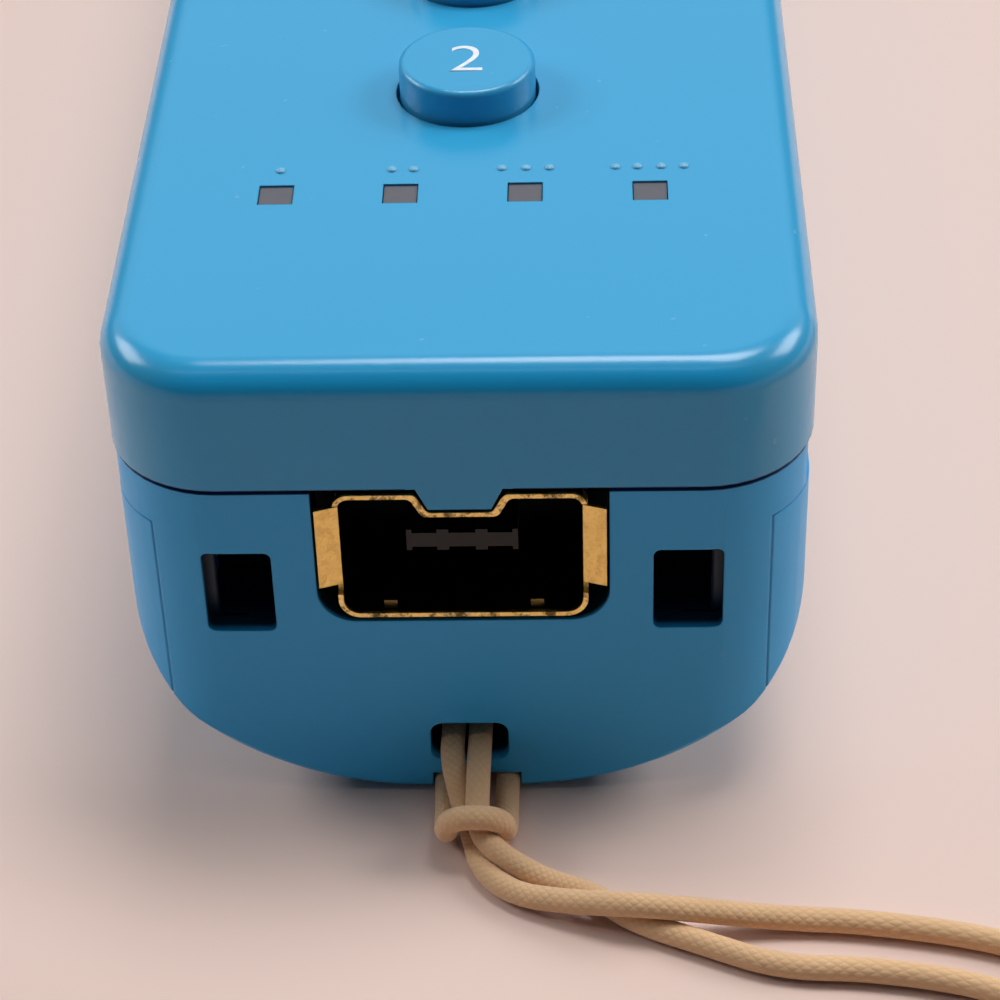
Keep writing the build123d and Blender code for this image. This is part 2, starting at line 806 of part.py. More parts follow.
with BuildPart() as player_light_windows:
    with BuildSketch(Plane.XY.offset(ceiling)):
        with Locations((0, light_y)):
            Rectangle((light_count - 1) * light_pitch + light_bar_length, light_bar_length)
    extrude(amount=-light_bar_thickness)
    with BuildSketch(Plane.XY.offset(ceiling)):
        with Locations(*light_places):
            Rectangle(light_window - 2 * fit_gap, light_window - 2 * fit_gap)
    extrude(amount=wall - light_inset)
save(player_light_windows, "player_light_windows")

# Main board, notched round the screw columns
with BuildPart() as main_board:
    with BuildSketch(Plane.XY.offset(board_bottom)):
        with Locations((0, (board_start - board_from_nose) / 2)):
            Rectangle(2 * board_half, length - board_start - board_from_nose)
        with Locations(*screw_places):
            Circle(screw_boss_radius + free_gap, mode=Mode.SUBTRACT)
    extrude(amount=board_thickness)
save(main_board, "main_board")

with BuildPart() as gyro_board:
    with BuildSketch(Plane.XY.offset(board_bottom - gyro_drop)):
        with Locations((0, tail + gyro_start + gyro_length / 2)):
            Rectangle(gyro_width, gyro_length)
    extrude(amount=gyro_thickness)
    with BuildSketch(Plane.XY.offset(board_bottom)):
        with Locations((0, tail + gyro_start + gyro_plug_length)):
            Rectangle(gyro_plug_width, gyro_plug_length)
    extrude(amount=-gyro_drop + gyro_thickness)
save(gyro_board, "gyro_board")

# Case screws, from below
with BuildPart() as case_screws:
    for places, seat in ((tail_screws, tail_screw_seat), (nose_screws, nose_screw_seat)):
        with BuildSketch(Plane.XY.offset(seat)):
            with Locations(*places):
                Circle(screw_head_radius)
        extrude(amount=-screw_head_height)
        with BuildSketch(Plane.XY.offset(seat)):
            with Locations(*places):
                Circle(screw_radius)
        extrude(amount=rear_top + screw_bite - fit_gap - seat)
save(case_screws, "case_screws")

# Batteries, their springs and their plates
cell_centre = tail + (bay_start + bay_end) / 2
for name, side in (("battery_left", -1), ("battery_right", 1)):
    x = side * cell_spacing / 2
    flat_end = cell_centre + side * cell_total / 2
    with BuildPart() as cell:
        with BuildSketch(Plane.XZ.offset(-flat_end)):
            with Locations((x, cell_height)):
                Circle(cell_radius)
        extrude(amount=cell_length, dir=(0, -side, 0))
        fillet(cell.edges().filter_by(GeomType.CIRCLE), radius=cell_edge)
        with BuildSketch(Plane.XZ.offset(-(flat_end - side * cell_length))):
            with Locations((x, cell_height)):
                Circle(cell_nub_radius)
        extrude(amount=cell_nub_length, dir=(0, -side, 0))
    save(cell, name)

spring_rise = bay_end_room - plate_thickness - 2 * spring_wire_radius - fit_gap
with BuildPart() as battery_springs:
    for side in (-1, 1):
        base = Plane((side * cell_spacing / 2, cell_centre + side * (cell_total / 2 + bay_end_room), cell_height),
                     x_dir=(1, 0, 0), z_dir=(0, -side, 0))
        with BuildSketch(base):
            Rectangle(plate_width, plate_width)
        extrude(amount=plate_thickness)
        coil_base = base.offset(plate_thickness + spring_wire_radius / 2)
        with BuildLine() as coil:
            Helix(spring_rise / spring_turns, spring_rise, spring_base_radius, center=coil_base.origin,
                  direction=coil_base.z_dir, cone_angle=-spring_cone_angle)
        with BuildSketch(Plane(coil.wires()[0] @ 0, z_dir=coil.wires()[0] % 0)):
            Circle(spring_wire_radius)
        sweep(path=coil.wires()[0], is_frenet=True)
save(battery_springs, "battery_springs")

with BuildPart() as battery_plates:
    for side in (-1, 1):
        base = Plane((-side * cell_spacing / 2, cell_centre + side * (cell_total / 2 + bay_end_room), cell_height),
                     x_dir=(1, 0, 0), z_dir=(0, -side, 0))
        with BuildSketch(base):
            Rectangle(plate_width, plate_width)
        extrude(amount=plate_thickness)
        with BuildSketch(base.offset(plate_thickness)):
            Circle(cell_nub_radius)
        extrude(amount=bay_end_room - plate_thickness - fit_gap, taper=15)
save(battery_plates, "battery_plates")

# Socket: black housing with its tongue, bent metal shell and contacts
shell_top = body_height - shell_top_drop
shell_bottom = body_height - shell_bottom_drop
mouth = tail + shell_mouth
tongue_top = body_height - tongue_drop
tongue_bottom = tongue_top - tongue_thickness
socket_end = tail + socket_depth


def shell_outline(plane, inset):
    """Outline of the socket's shell, with the key notch in its top."""
    half = shell_half - inset
    top = shell_top - inset
    bottom = shell_bottom + inset
    notch = shell_top - shell_notch_drop - inset
    notch_half = shell_notch_half + inset
    with BuildSketch(plane) as outline:
        with BuildLine():
            Polyline((notch_half, notch), (notch_half + shell_notch_slope, top), (half, top), (half, bottom),
                     (-half, bottom), (-half, top), (-notch_half - shell_notch_slope, top), (-notch_half, notch),
                     close=True)
        make_face()
        fillet(outline.vertices().group_by(Axis.Y)[0], radius=shell_bottom_corner - inset)
        fillet(outline.vertices().group_by(Axis.X)[0].group_by(Axis.Y)[-1]
               + outline.vertices().group_by(Axis.X)[-1].group_by(Axis.Y)[-1], radius=shell_top_corner - inset)
        fillet(outline.vertices().filter_by(lambda corner: abs(corner.X) < notch_half + 2 * shell_notch_slope
                                            and corner.Y > notch - fit_gap), radius=shell_notch_corner)
    return outline.sketch


with BuildPart() as connector_shell:
    add(shell_outline(Plane.XZ.offset(-mouth), 0))
    extrude(amount=socket_depth - socket_back - shell_mouth - fit_gap, dir=(0, 1, 0))
    add(shell_outline(Plane.XZ.offset(-mouth), shell_thickness))
    extrude(amount=socket_depth, dir=(0, 1, 0), mode=Mode.SUBTRACT)
    with BuildSketch(Plane.XY.offset(body_height - flare_top_drop + flare_slit)):
        with Locations(*[(side * shell_half, mouth) for side in (-1, 1)]):
            Rectangle(4 * shell_thickness, 2 * flare_depth)
    extrude(amount=flare_top_drop - flare_bottom_drop - 2 * flare_slit, mode=Mode.SUBTRACT)
    for side in (-1, 1):
        inner = side * (shell_half - shell_thickness)
        outer = side * (shell_half + flare_reach - fit_gap)
        with BuildSketch(Plane.XY.offset(body_height - flare_top_drop)):
            with BuildLine():
                Polyline((inner, mouth + flare_depth), (outer, mouth + fit_gap),
                         (outer, mouth + fit_gap + shell_thickness), (inner + side * shell_thickness, mouth + flare_depth * 1.3),
                         close=True)
            make_face()
        extrude(amount=flare_top_drop - flare_bottom_drop)
    with BuildSketch(Plane.XZ.offset(-(mouth + flare_depth))):
        with Locations(*[(side * shell_rib_across, shell_bottom + (shell_thickness + shell_rib_height) / 2)
                         for side in (-1, 1)]):
            Rectangle(shell_rib_width, shell_thickness + shell_rib_height)
    extrude(amount=socket_depth - socket_back - flare_depth - shell_mouth - fit_gap, dir=(0, 1, 0))
save(connector_shell, "connector_shell")

with BuildPart() as connector_housing:
    housing_front = tail + housing_start
    with BuildSketch(Plane.XZ.offset(-housing_front)) as housing_outline:
        with Locations((0, socket_z + fit_gap)):
            Rectangle(2 * (socket_half - fit_gap), shell_top - socket_z - fit_gap, align=(Align.CENTER, Align.MIN))
        fillet(housing_outline.vertices().group_by(Axis.Y)[0], radius=socket_corner)
    extrude(amount=socket_end - housing_front - fit_gap, dir=(0, 1, 0))
    add(shell_outline(Plane.XZ.offset(-tail), -fit_gap))
    extrude(amount=socket_depth - socket_back, dir=(0, 1, 0), mode=Mode.SUBTRACT)
    with BuildSketch(Plane.XZ.offset(-(tail + tongue_start))):
        with Locations((0, tongue_top - tongue_thickness / 2)):
            Rectangle(2 * tongue_half, tongue_thickness)
        with Locations(*[(side * tongue_bump_across, tongue_top - tongue_thickness / 2) for side in (-1, 1)]):
            Rectangle(2 * tongue_bump_half, tongue_thickness + 2 * tongue_bump_rise)
        with Locations(*[(side * (tongue_half - tongue_end_half), tongue_top - tongue_thickness / 2)
                         for side in (-1, 1)]):
            Rectangle(2 * tongue_end_half, tongue_thickness + 2 * tongue_bump_rise)
    extrude(amount=socket_depth - socket_back - tongue_start, dir=(0, 1, 0))
save(connector_housing, "connector_housing")

with BuildPart() as connector_contacts:
    for height in (tongue_top, tongue_bottom - contact_thickness):
        with BuildSketch(Plane.XY.offset(height)):
            with Locations(*[(i * contact_spacing, tail + (contact_start + socket_depth - socket_back) / 2)
                             for i in (-1, 1)]):
                Rectangle(contact_width, socket_depth - socket_back - contact_start)
        extrude(amount=contact_thickness)
save(connector_contacts, "connector_contacts")

# Sync button: a small plunger in the roof of the battery bay
sync_top = board_bottom - sync_travel - fit_gap
with BuildPart() as sync_button:
    with BuildSketch(Plane.XY.offset(bay_top - sync_rise)):
        with Locations((0, tail + sync_from_tail)):
            Circle(sync_radius)
    extrude(amount=sync_top + sync_rise - bay_top)
    with BuildSketch(Plane.XY.offset(sync_top)):
        with Locations((0, tail + sync_from_tail)):
            Circle(sync_flange_radius)
    extrude(amount=-sync_flange_thickness)
save(sync_button, "sync_button")

# Trigger: a curved finger face with a hook at its tip, on its pin
trigger_tip_y = trigger_back + trigger_tip_offset
trigger_deck_y = trigger_front - trigger_deck_offset
with BuildPart() as trigger:
    with BuildSketch(Plane.YZ) as trigger_side:
        with BuildLine():
            ThreePointArc((trigger_front, nose_underside),
                          (trigger_front - trigger_sag_offset, trigger_sag_height),
                          (trigger_tip_y, trigger_tip_height))
            Polyline((trigger_tip_y, trigger_tip_height), (trigger_back, trigger_hook_height),
                     (trigger_back, trigger_deck_height), (trigger_deck_y, trigger_deck_height),
                     (trigger_deck_y, trigger_top), (trigger_front, trigger_top),
                     (trigger_front, nose_underside))
        make_face()
    extrude(amount=trigger_width / 2, both=True)
    fillet(trigger.edges().filter_by(Axis.X).group_by(Axis.Z)[0], radius=trigger_edge)
    with BuildSketch(Plane.YZ):
        with Locations((pin_y, pin_height)):
            Circle(pin_radius + fit_gap)
    extrude(amount=trigger_width, both=True, mode=Mode.SUBTRACT)
save(trigger, "trigger")

with BuildPart() as trigger_pin:
    with BuildSketch(Plane.YZ):
        with Locations((pin_y, pin_height)):
            Circle(pin_radius)
    extrude(amount=trigger_width / 2 + ear_gap + ear_thickness, both=True)
save(trigger_pin, "trigger_pin")

with BuildPart() as trigger_switch:
    with BuildSketch(Plane.XY.offset(board_bottom)):
        with Locations((0, switch_y)):
            Rectangle(trigger_switch_size, trigger_switch_size)
    extrude(amount=-(trigger_switch_drop - chip_height))
    with BuildSketch(Plane.XY.offset(board_bottom - trigger_switch_drop + chip_height)):
        with Locations((0, switch_y)):
            Circle(stem_radius)
    extrude(amount=-chip_height)
save(trigger_switch, "trigger_switch")

trigger_spring_rise = board_bottom - trigger_deck_height - 2 * (trigger_spring_wire + fit_gap)
with BuildPart() as trigger_spring:
    with BuildLine() as trigger_coil:
        Helix(trigger_spring_rise / trigger_spring_turns, trigger_spring_rise, trigger_spring_radius,
              center=(0, spring_y, trigger_deck_height + trigger_spring_wire + fit_gap))
    with BuildSketch(Plane(trigger_coil.wires()[0] @ 0, z_dir=trigger_coil.wires()[0] % 0)):
        Circle(trigger_spring_wire)
    sweep(path=trigger_coil.wires()[0], is_frenet=True)
save(trigger_spring, "trigger_spring")

# Rumble motor and the half weight on its shaft
with BuildPart() as rumble_motor:
    with BuildSketch(Plane.YZ.offset(motor_start)):
        with Locations((motor_y, motor_height)):
            Circle(motor_radius)
    extrude(amount=motor_end - motor_start)
    with BuildSketch(Plane.YZ.offset(motor_end)):
        with Locations((motor_y, motor_height)):
            Circle(motor_shaft_radius)
    extrude(amount=motor_shaft_length)
save(rumble_motor, "rumble_motor")

with BuildPart() as rumble_weight:
    with BuildSketch(Plane.YZ.offset(motor_end + rumble_weight_gap)) as weight_shape:
        with Locations((motor_y, motor_height)):
            Circle(rumble_weight_radius)
        with Locations((motor_y, motor_height + rumble_weight_radius / 2)):
            Rectangle(2 * rumble_weight_radius, rumble_weight_radius, mode=Mode.SUBTRACT)
        with Locations((motor_y, motor_height)):
            Circle(rumble_hub_radius)
            Circle(motor_shaft_radius + fit_gap, mode=Mode.SUBTRACT)
    extrude(amount=rumble_weight_length)
save(rumble_weight, "rumble_weight")

# Dark window at the nose, and the camera behind it
with BuildPart() as ir_window:
    with BuildSketch(Plane.XZ.offset(-(nose - window_inset))) as window_shape:
        with Locations((0, window_bottom + fit_gap)):
            Rectangle(2 * (window_half - fit_gap), rear_top - window_bottom - 2 * fit_gap,
                      align=(Align.CENTER, Align.MIN))
        fillet(window_shape.vertices().group_by(Axis.Y)[0], radius=window_corner)
    extrude(amount=wall - window_inset, dir=(0, -1, 0))
    with BuildSketch(Plane.XZ.offset(-(nose - wall))):
        with Locations((0, window_flange_bottom)):
            Rectangle(2 * (window_half + window_flange), rear_top - window_flange_bottom,
                      align=(Align.CENTER, Align.MIN))
    extrude(amount=window_flange, dir=(0, -1, 0))
save(ir_window, "ir_window")

camera_y = nose - camera_from_nose
with BuildPart() as camera_module:
    with BuildSketch(Plane.XY.offset(camera_bottom)):
        with Locations((0, camera_y + camera_length / 2)):
            Rectangle(2 * camera_half, camera_length)
    extrude(amount=board_bottom - camera_bottom)
    with BuildSketch(Plane.XZ.offset(-(camera_y + camera_length))):
        with Locations((0, lens_height)):
            Circle(lens_radius)
    extrude(amount=lens_length, dir=(0, 1, 0))
save(camera_module, "camera_module")

# Strap cord: one cord, hitched round the bar, with both ends in the joiner
cord_route = [
    (46.00, -17.60, 2.60), (41.00, -17.60, 2.40), (34.40, -14.80, 0.70), (27.40, -11.70, 0.70),
    (20.90, -10.40, 0.70), (16.20, -10.10, 0.72), (12.60, -10.30, 1.45), (9.20, -10.50, 2.15),
    (5.40, -9.40, 1.25), (2.30, -8.25, 0.68), (0.65, -6.35, 0.68), (0.22, -4.10, 0.70),
    (-0.35, -2.70, 1.75), (-0.98, -0.75, 3.25), (-0.88, 2.00, 3.45), (-0.90, 5.10, 3.45),
    (-1.30, 5.10, 0.72), (-1.38, 2.00, 0.72), (-1.30, -1.20, 0.72), (-1.25, -4.05, 0.78),
    (-1.05, -5.10, 3.15), (1.80, -5.10, 3.15), (1.95, -4.05, 0.78), (1.95, -1.20, 0.74),
    (2.02, 2.00, 0.72), (1.95, 5.10, 0.72), (0.55, 5.10, 3.45), (0.58, 2.00, 3.45),
    (0.50, -1.20, 3.40), (0.40, -4.70, 1.98), (1.60, -6.15, 1.50), (4.10, -7.35, 0.70),
    (6.50, -8.20, 0.68), (8.60, -10.20, 0.68), (12.00, -11.70, 0.68), (16.00, -13.50, 0.68),
    (20.70, -13.60, 0.70), (27.20, -15.00, 0.70), (34.00, -19.40, 0.70), (41.00, -20.40, 2.40),
    (46.00, -20.40, 2.60),
]
route_points = [Vector(x, tail + y, z) for x, y, z in cord_route]


def bend_radii(points):
    """Radius at each corner: 0.45 of the shorter run over the tangent of half the turn."""
    radii = []
    for before, corner, after in zip(points, points[1:], points[2:]):
        turn_angle = (corner - before).get_angle(after - corner)
        shorter = min((corner - before).length, (after - corner).length)
        radii.append(0.45 * shorter / tan(radians(turn_angle / 2)))
    return radii


cord_radii = bend_radii(route_points)
with BuildPart() as strap_cord:
    with BuildLine():
        route = FilletPolyline(*route_points, radius=cord_radii)
    with BuildSketch(Plane(route_points[0], z_dir=route % 0)):
        Circle(cord_radius)
    sweep()
save(strap_cord, "strap_cord")
print("cord bend radii", [round(radius, 2) for radius in cord_radii])
print("cord length", round(route.length, 1), "volume", round(strap_cord.part.volume, 1),
      "section times length", round(3.14159 * cord_radius**2 * route.length, 1))

# Joiner, where the cord's ends and the band's ends meet
joiner_y = tail + joiner_across
with BuildPart() as cord_joiner:
    with BuildSketch():
        with Locations((joiner_start + joiner_length / 2, joiner_y)):
            Rectangle(joiner_length, joiner_width)
    extrude(amount=joiner_height)
    fillet(cord_joiner.edges().filter_by(Axis.Z), radius=joiner_edge)
    with BuildSketch(Plane.YZ.offset(joiner_start)):
        with Locations(*[(joiner_y + side * cord_pair_half, cord_exit_height) for side in (-1, 1)]):
            Circle(cord_radius + 2 * fit_gap)
    extrude(amount=joiner_grip + fit_gap, mode=Mode.SUBTRACT)
save(cord_joiner, "cord_joiner")

# Wristband: one webbing loop, standing on its edge
joiner_end = joiner_start + joiner_length
with BuildPart() as wristband:
    with BuildSketch(Plane.XY.offset(band_lift)):
        with BuildLine() as band_path:
            FilletPolyline(
                (joiner_end, joiner_y - band_pair_half), (band_far, joiner_y - band_pair_half),
                (band_far, tail + band_end), (band_near, tail + band_end),
                (band_near, joiner_y + band_pair_half), (joiner_end, joiner_y + band_pair_half),
                radius=[band_far_radius, band_turn_radius, band_turn_radius, band_near_radius])
        trace(line_width=band_thickness)
    extrude(amount=band_width)
save(wristband, "wristband")
print("band length", round(band_path.wires()[0].length, 1))

# Slider: a frame round both runs of the band
with BuildPart() as strap_slider:
    with BuildSketch():
        with Locations((slider_start + slider_length / 2, joiner_y)):
            Rectangle(slider_length, slider_width)
    extrude(amount=slider_height)
    fillet(strap_slider.edges().filter_by(Axis.Z), radius=slider_edge)
    slot_half = band_pair_half + band_thickness / 2 + slider_slot_gap
    with BuildSketch(Plane.YZ.offset(slider_start)):
        with Locations((joiner_y, band_lift + band_width / 2)):
            Rectangle(2 * slot_half, band_width + 2 * slider_slot_gap)
    extrude(amount=slider_length, mode=Mode.SUBTRACT)
save(strap_slider, "strap_slider")
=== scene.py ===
"""Visual model of a motion controller wand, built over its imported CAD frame."""

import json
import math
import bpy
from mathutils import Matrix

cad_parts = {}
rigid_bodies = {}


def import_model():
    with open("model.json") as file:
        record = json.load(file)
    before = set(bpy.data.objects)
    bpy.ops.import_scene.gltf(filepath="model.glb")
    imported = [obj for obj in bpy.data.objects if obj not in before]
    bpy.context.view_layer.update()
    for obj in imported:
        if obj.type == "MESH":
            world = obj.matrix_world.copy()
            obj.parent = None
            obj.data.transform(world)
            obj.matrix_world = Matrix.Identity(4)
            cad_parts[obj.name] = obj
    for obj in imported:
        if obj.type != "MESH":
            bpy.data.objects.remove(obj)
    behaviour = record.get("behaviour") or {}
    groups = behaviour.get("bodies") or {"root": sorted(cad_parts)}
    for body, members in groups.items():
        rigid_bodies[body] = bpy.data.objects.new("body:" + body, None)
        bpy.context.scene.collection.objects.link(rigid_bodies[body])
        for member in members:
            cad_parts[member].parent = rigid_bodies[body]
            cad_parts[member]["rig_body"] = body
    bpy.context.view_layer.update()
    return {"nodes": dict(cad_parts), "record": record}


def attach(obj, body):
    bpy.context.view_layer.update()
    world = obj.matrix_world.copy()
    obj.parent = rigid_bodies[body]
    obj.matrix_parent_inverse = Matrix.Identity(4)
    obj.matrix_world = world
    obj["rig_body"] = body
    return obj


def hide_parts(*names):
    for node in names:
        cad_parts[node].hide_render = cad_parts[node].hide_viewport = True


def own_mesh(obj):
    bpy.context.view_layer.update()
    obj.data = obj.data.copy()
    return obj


bl_info = {
    "name": "Motion Controller Wand",
    "version": (1, 0, 0),
    "blender": (4, 5, 0),
    "location": "3D View > Sidebar > Wand",
    "description": "Shells, buttons, socket and strap of a hand-held motion controller",
    "category": "Object",
}

import bmesh
import bpy
from mathutils import Matrix, Vector

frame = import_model()
NODES = frame["nodes"]
BODY_OF = {name: node["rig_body"] for name, node in NODES.items()}
MM = 0.001

# Places on the wand: the strap end's face, the top, the seam of the cases, and the middle of the band
TAIL = -74.0 * MM
TOP = 28.2 * MM
SEAM = 20.9 * MM
BAND_MIDDLE = 6.2 * MM

# CAD nodes that have an operator of their own
CASES = ("front_case", "rear_case", "battery_cover", "trigger")
STRAP = ("strap_cord", "cord_joiner", "strap_slider", "wristband")

# Sockets of a Mix node that mixes colours, by number, as several of them have the same name
MIX_FACTOR, MIX_FIRST, MIX_SECOND, MIX_RESULT = 0, 6, 7, 2


# Shader helpers


class Field:
    """One output of a shader node, with Python's arithmetic on it."""

    def __init__(self, shade, socket):
        self.shade = shade
        self.socket = socket

    def maths(self, operation, *values):
        return self.shade.field("ShaderNodeMath", "Value", {"operation": operation}, dict(enumerate(values)))

    def __add__(self, other):
        return self.maths("ADD", self, other)

    def __radd__(self, other):
        return self.maths("ADD", other, self)

    def __sub__(self, other):
        return self.maths("SUBTRACT", self, other)

    def __rsub__(self, other):
        return self.maths("SUBTRACT", other, self)

    def __mul__(self, other):
        return self.maths("MULTIPLY", self, other)

    def __pow__(self, other):
        return self.maths("POWER", self, other)

    def __abs__(self):
        return self.maths("ABSOLUTE", self)

    def __gt__(self, other):
        return self.maths("GREATER_THAN", self, other)

    def __lt__(self, other):
        return self.maths("LESS_THAN", self, other)

    def fraction(self):
        return self.maths("FRACT", self)

    def most(self, other):
        return self.maths("MAXIMUM", self, other)

    def ramped(self, low, high):
        """0 below low and 1 above high, with a smooth rise between them."""
        settings = {"interpolation_type": "SMOOTHSTEP"}
        inputs = {"Value": self, "From Min": low, "From Max": high}
        return self.shade.field("ShaderNodeMapRange", "Result", settings, inputs)


class Shade:
    """One material's node tree, built from Python expressions."""

    def __init__(self, name):
        self.material = bpy.data.materials.new(name)
        self.material.use_nodes = True
        self.tree = self.material.node_tree
        self.tree.nodes.clear()

    def feed(self, socket, value):
        """Link a socket to a field, or give it a plain value."""
        if isinstance(value, Field):
            self.tree.links.new(value.socket, socket)
        else:
            socket.default_value = value

    def node(self, kind, settings=None, inputs=None):
        made = self.tree.nodes.new(kind)
        for name, value in (settings or {}).items():
            setattr(made, name, value)
        for name, value in (inputs or {}).items():
            self.feed(made.inputs[name], value)
        return made

    def field(self, kind, output, settings=None, inputs=None):
        return Field(self, self.node(kind, settings, inputs).outputs[output])

    def parts(self, vector):
        node = self.node("ShaderNodeSeparateXYZ", None, {"Vector": vector})
        return [Field(self, node.outputs[axis]) for axis in "XYZ"]

    def place(self):
        """Object coordinates: the shared vector and its three parts, in metres."""
        vector = self.field("ShaderNodeTexCoord", "Object")
        return vector, self.parts(vector)

    def cord_map(self):
        """The two parts of a cord's own map: along it and around it."""
        return self.parts(self.field("ShaderNodeUVMap", "UV", {"uv_map": "UVMap"}))[:2]

    def noise(self, vector, scale, detail=3.0, roughness=0.5):
        inputs = {"Vector": vector, "Scale": scale, "Detail": detail, "Roughness": roughness}
        return self.field("ShaderNodeTexNoise", "Fac", None, inputs)

    def mix(self, factor, first, second):
        """One colour over another, by a factor."""
        inputs = {MIX_FACTOR: factor, MIX_FIRST: opaque(first), MIX_SECOND: opaque(second)}
        return self.field("ShaderNodeMix", MIX_RESULT, {"data_type": "RGBA"}, inputs)

    def bump(self, height, distance, strength=1.0, normal=None):
        inputs = {"Height": height, "Distance": distance, "Strength": strength}
        if normal is not None:
            inputs["Normal"] = normal
        return self.field("ShaderNodeBump", "Normal", None, inputs)

    def soft_edge(self, radius):
        """The normal of a surface whose edges are rounded by a small radius."""
        return self.field("ShaderNodeBevel", "Normal", {"samples": 4}, {"Radius": radius})

    def finish(self, colour, roughness, metallic=0.0, normal=None, **sockets):
        """The material with this surface. Further sockets are named with underscores for spaces."""
        inputs = {"Roughness": roughness, "Metallic": metallic, "Base Color": opaque(colour)}
        if normal is not None:
            inputs["Normal"] = normal
        inputs.update({name.replace("_", " "): value for name, value in sockets.items()})
        surface = self.field("ShaderNodeBsdfPrincipled", "BSDF", None, inputs)
        self.node("ShaderNodeOutputMaterial", None, {"Surface": surface})
        return self.material


def linear(red, green, blue):
    """A colour written in 0 to 255 screen values, as the linear values that shaders take."""
    values = []
    for part in (red, green, blue):
        part = part / 255
        values.append(part / 12.92 if part <= 0.04045 else ((part + 0.055) / 1.055) ** 2.4)
    return tuple(values)


def toned(colour, share):
    """A colour made darker or lighter by one share for all its parts."""
    return tuple(min(1.0, part * share) for part in colour)


def opaque(colour):
    """A colour as a socket takes it: a field as it is, and plain values with a full alpha."""
    return colour if isinstance(colour, Field) else (*tuple(colour)[:3], 1.0)


# Settings that a user would change


class ShellSettings(bpy.types.PropertyGroup):
    colour: bpy.props.FloatVectorProperty(
        name="Front colour", description="Colour of the glossy front case", subtype="COLOR",
        size=3, min=0.0, max=1.0, default=linear(50, 154, 201))
    lower_colour: bpy.props.FloatVectorProperty(
        name="Lower colour", description="Colour of the lower case, cover and trigger", subtype="COLOR",
        size=3, min=0.0, max=1.0, default=linear(44, 167, 230))
    edge: bpy.props.FloatProperty(
        name="Edge softness", description="Radius of the light that catches moulded edges",
        subtype="DISTANCE", unit="LENGTH", min=0.0, default=0.00012, precision=5)
    dot_radius: bpy.props.FloatProperty(
        name="Player dot radius", description="Radius of the raised player dots over the lights",
        subtype="DISTANCE", unit="LENGTH", min=0.0, default=0.00027, precision=5)


class StrapSettings(bpy.types.PropertyGroup):
    diameter: bpy.props.FloatProperty(
        name="Cord diameter", description="Diameter of the wrist cord",
        subtype="DISTANCE", unit="LENGTH", min=0.0005, default=0.0013, precision=5)
    colour: bpy.props.FloatVectorProperty(
        name="Cord colour", description="Colour of the cord and the band", subtype="COLOR",
        size=3, min=0.0, max=1.0, default=linear(228, 184, 138))


class StageSettings(bpy.types.PropertyGroup):
    floor_colour: bpy.props.FloatVectorProperty(
        name="Floor colour", description="Colour of the plain floor", subtype="COLOR",
        size=3, min=0.0, max=1.0, default=linear(235, 206, 193))
    world_level: bpy.props.FloatProperty(
        name="World level", description="Strength of the even light from all round", min=0.0, default=0.075)
    key_power: bpy.props.FloatProperty(
        name="Lamp power", description="Power that each lamp takes its share of", subtype="POWER",
        unit="POWER", min=0.0, default=3.0)


# Mesh helpers


def add_object(name, data):
    """A new object for a mesh or curve, linked to the scene at the origin."""
    made = bpy.data.objects.new(name, data)
    bpy.context.scene.collection.objects.link(made)
    return made


def baked(piece):
    """Turn a piece with live modifiers into a plain mesh."""
    bpy.context.view_layer.update()
    graph = bpy.context.evaluated_depsgraph_get()
    mesh = bpy.data.meshes.new_from_object(
        piece.evaluated_get(graph), preserve_all_data_layers=True, depsgraph=graph)
    piece.modifiers.clear()
    if piece.type == "MESH":
        piece.data = mesh
        return piece
    name = piece.name
    bpy.data.objects.remove(piece)
    return add_object(name, mesh)


def settle(piece, node_names, material, body=None):
    """Give a piece its material and body, and let it stand for CAD nodes."""
    piece.data.materials.clear()
    piece.data.materials.append(material)
    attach(piece, body or BODY_OF[node_names[0]])
    if node_names:
        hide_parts(*node_names)
    return piece


# Points nearer than this are one point, edges shorter than this are slivers, and sharper turns are creases
MERGE_DISTANCE = 0.000002
SLIVER_LENGTH = 0.0000005
CREASE_ANGLE = math.radians(32.0)


def smooth_copy(node, name):
    """A merged copy of a CAD node's mesh with smooth curves and crisp edges."""
    mesh = NODES[node].data.copy()
    mesh.materials.clear()
    form = bmesh.new()
    form.from_mesh(mesh)
    bmesh.ops.remove_doubles(form, verts=form.verts, dist=MERGE_DISTANCE)
    bmesh.ops.dissolve_degenerate(form, edges=form.edges, dist=SLIVER_LENGTH)
    for face in form.faces:
        face.smooth = True
    for edge in form.edges:
        edge.smooth = len(edge.link_faces) == 2 and edge.calc_face_angle(0.0) < CREASE_ANGLE
    form.to_mesh(mesh)
    form.free()
    piece = add_object(name, mesh)
    weighted = piece.modifiers.new("even_normals", "WEIGHTED_NORMAL")
    weighted.mode = "FACE_AREA"
    weighted.weight = 90
    weighted.keep_sharp = True
    return baked(piece)


def dressed(node, slot, ending="_form"):
    """A smooth copy of a CAD node that takes its place, in the finish of a slot."""
    return settle(smooth_copy(node, node + ending), [node], MATERIALS[slot])


# Materials

DUST = linear(196, 206, 210)
PAINTED_SEAM_SHADE = linear(6, 60, 118)
PAINTED_DARKNESS = (0.002, 0.005, 0.014)

# Painted shade along the seam is 0.4 mm high and ends beside the key tab, which crosses the seam over the
# socket
SEAM_REACH = 0.2 * MM
KEY_TAB_SIDE = 2.7 * MM

# Rooms behind the openings of the strap end hold no light, so their walls get painted shade. Each has its
# half width, bottom and top, and the two depths between which the painted shade sets in. They end at the room
# depth. All of it is in millimetres.
SHADED_ROOMS = {
    "lock_holes": (13.45, 10.4, 19.6, 0.15, 0.75),
    "socket": (7.9, 12.0, 20.8, 0.12, 0.5),
    "strap_slot": (2.9, 0.2, 5.3, 0.2, 1.1),
}
ROOM_DEPTH = 12.0


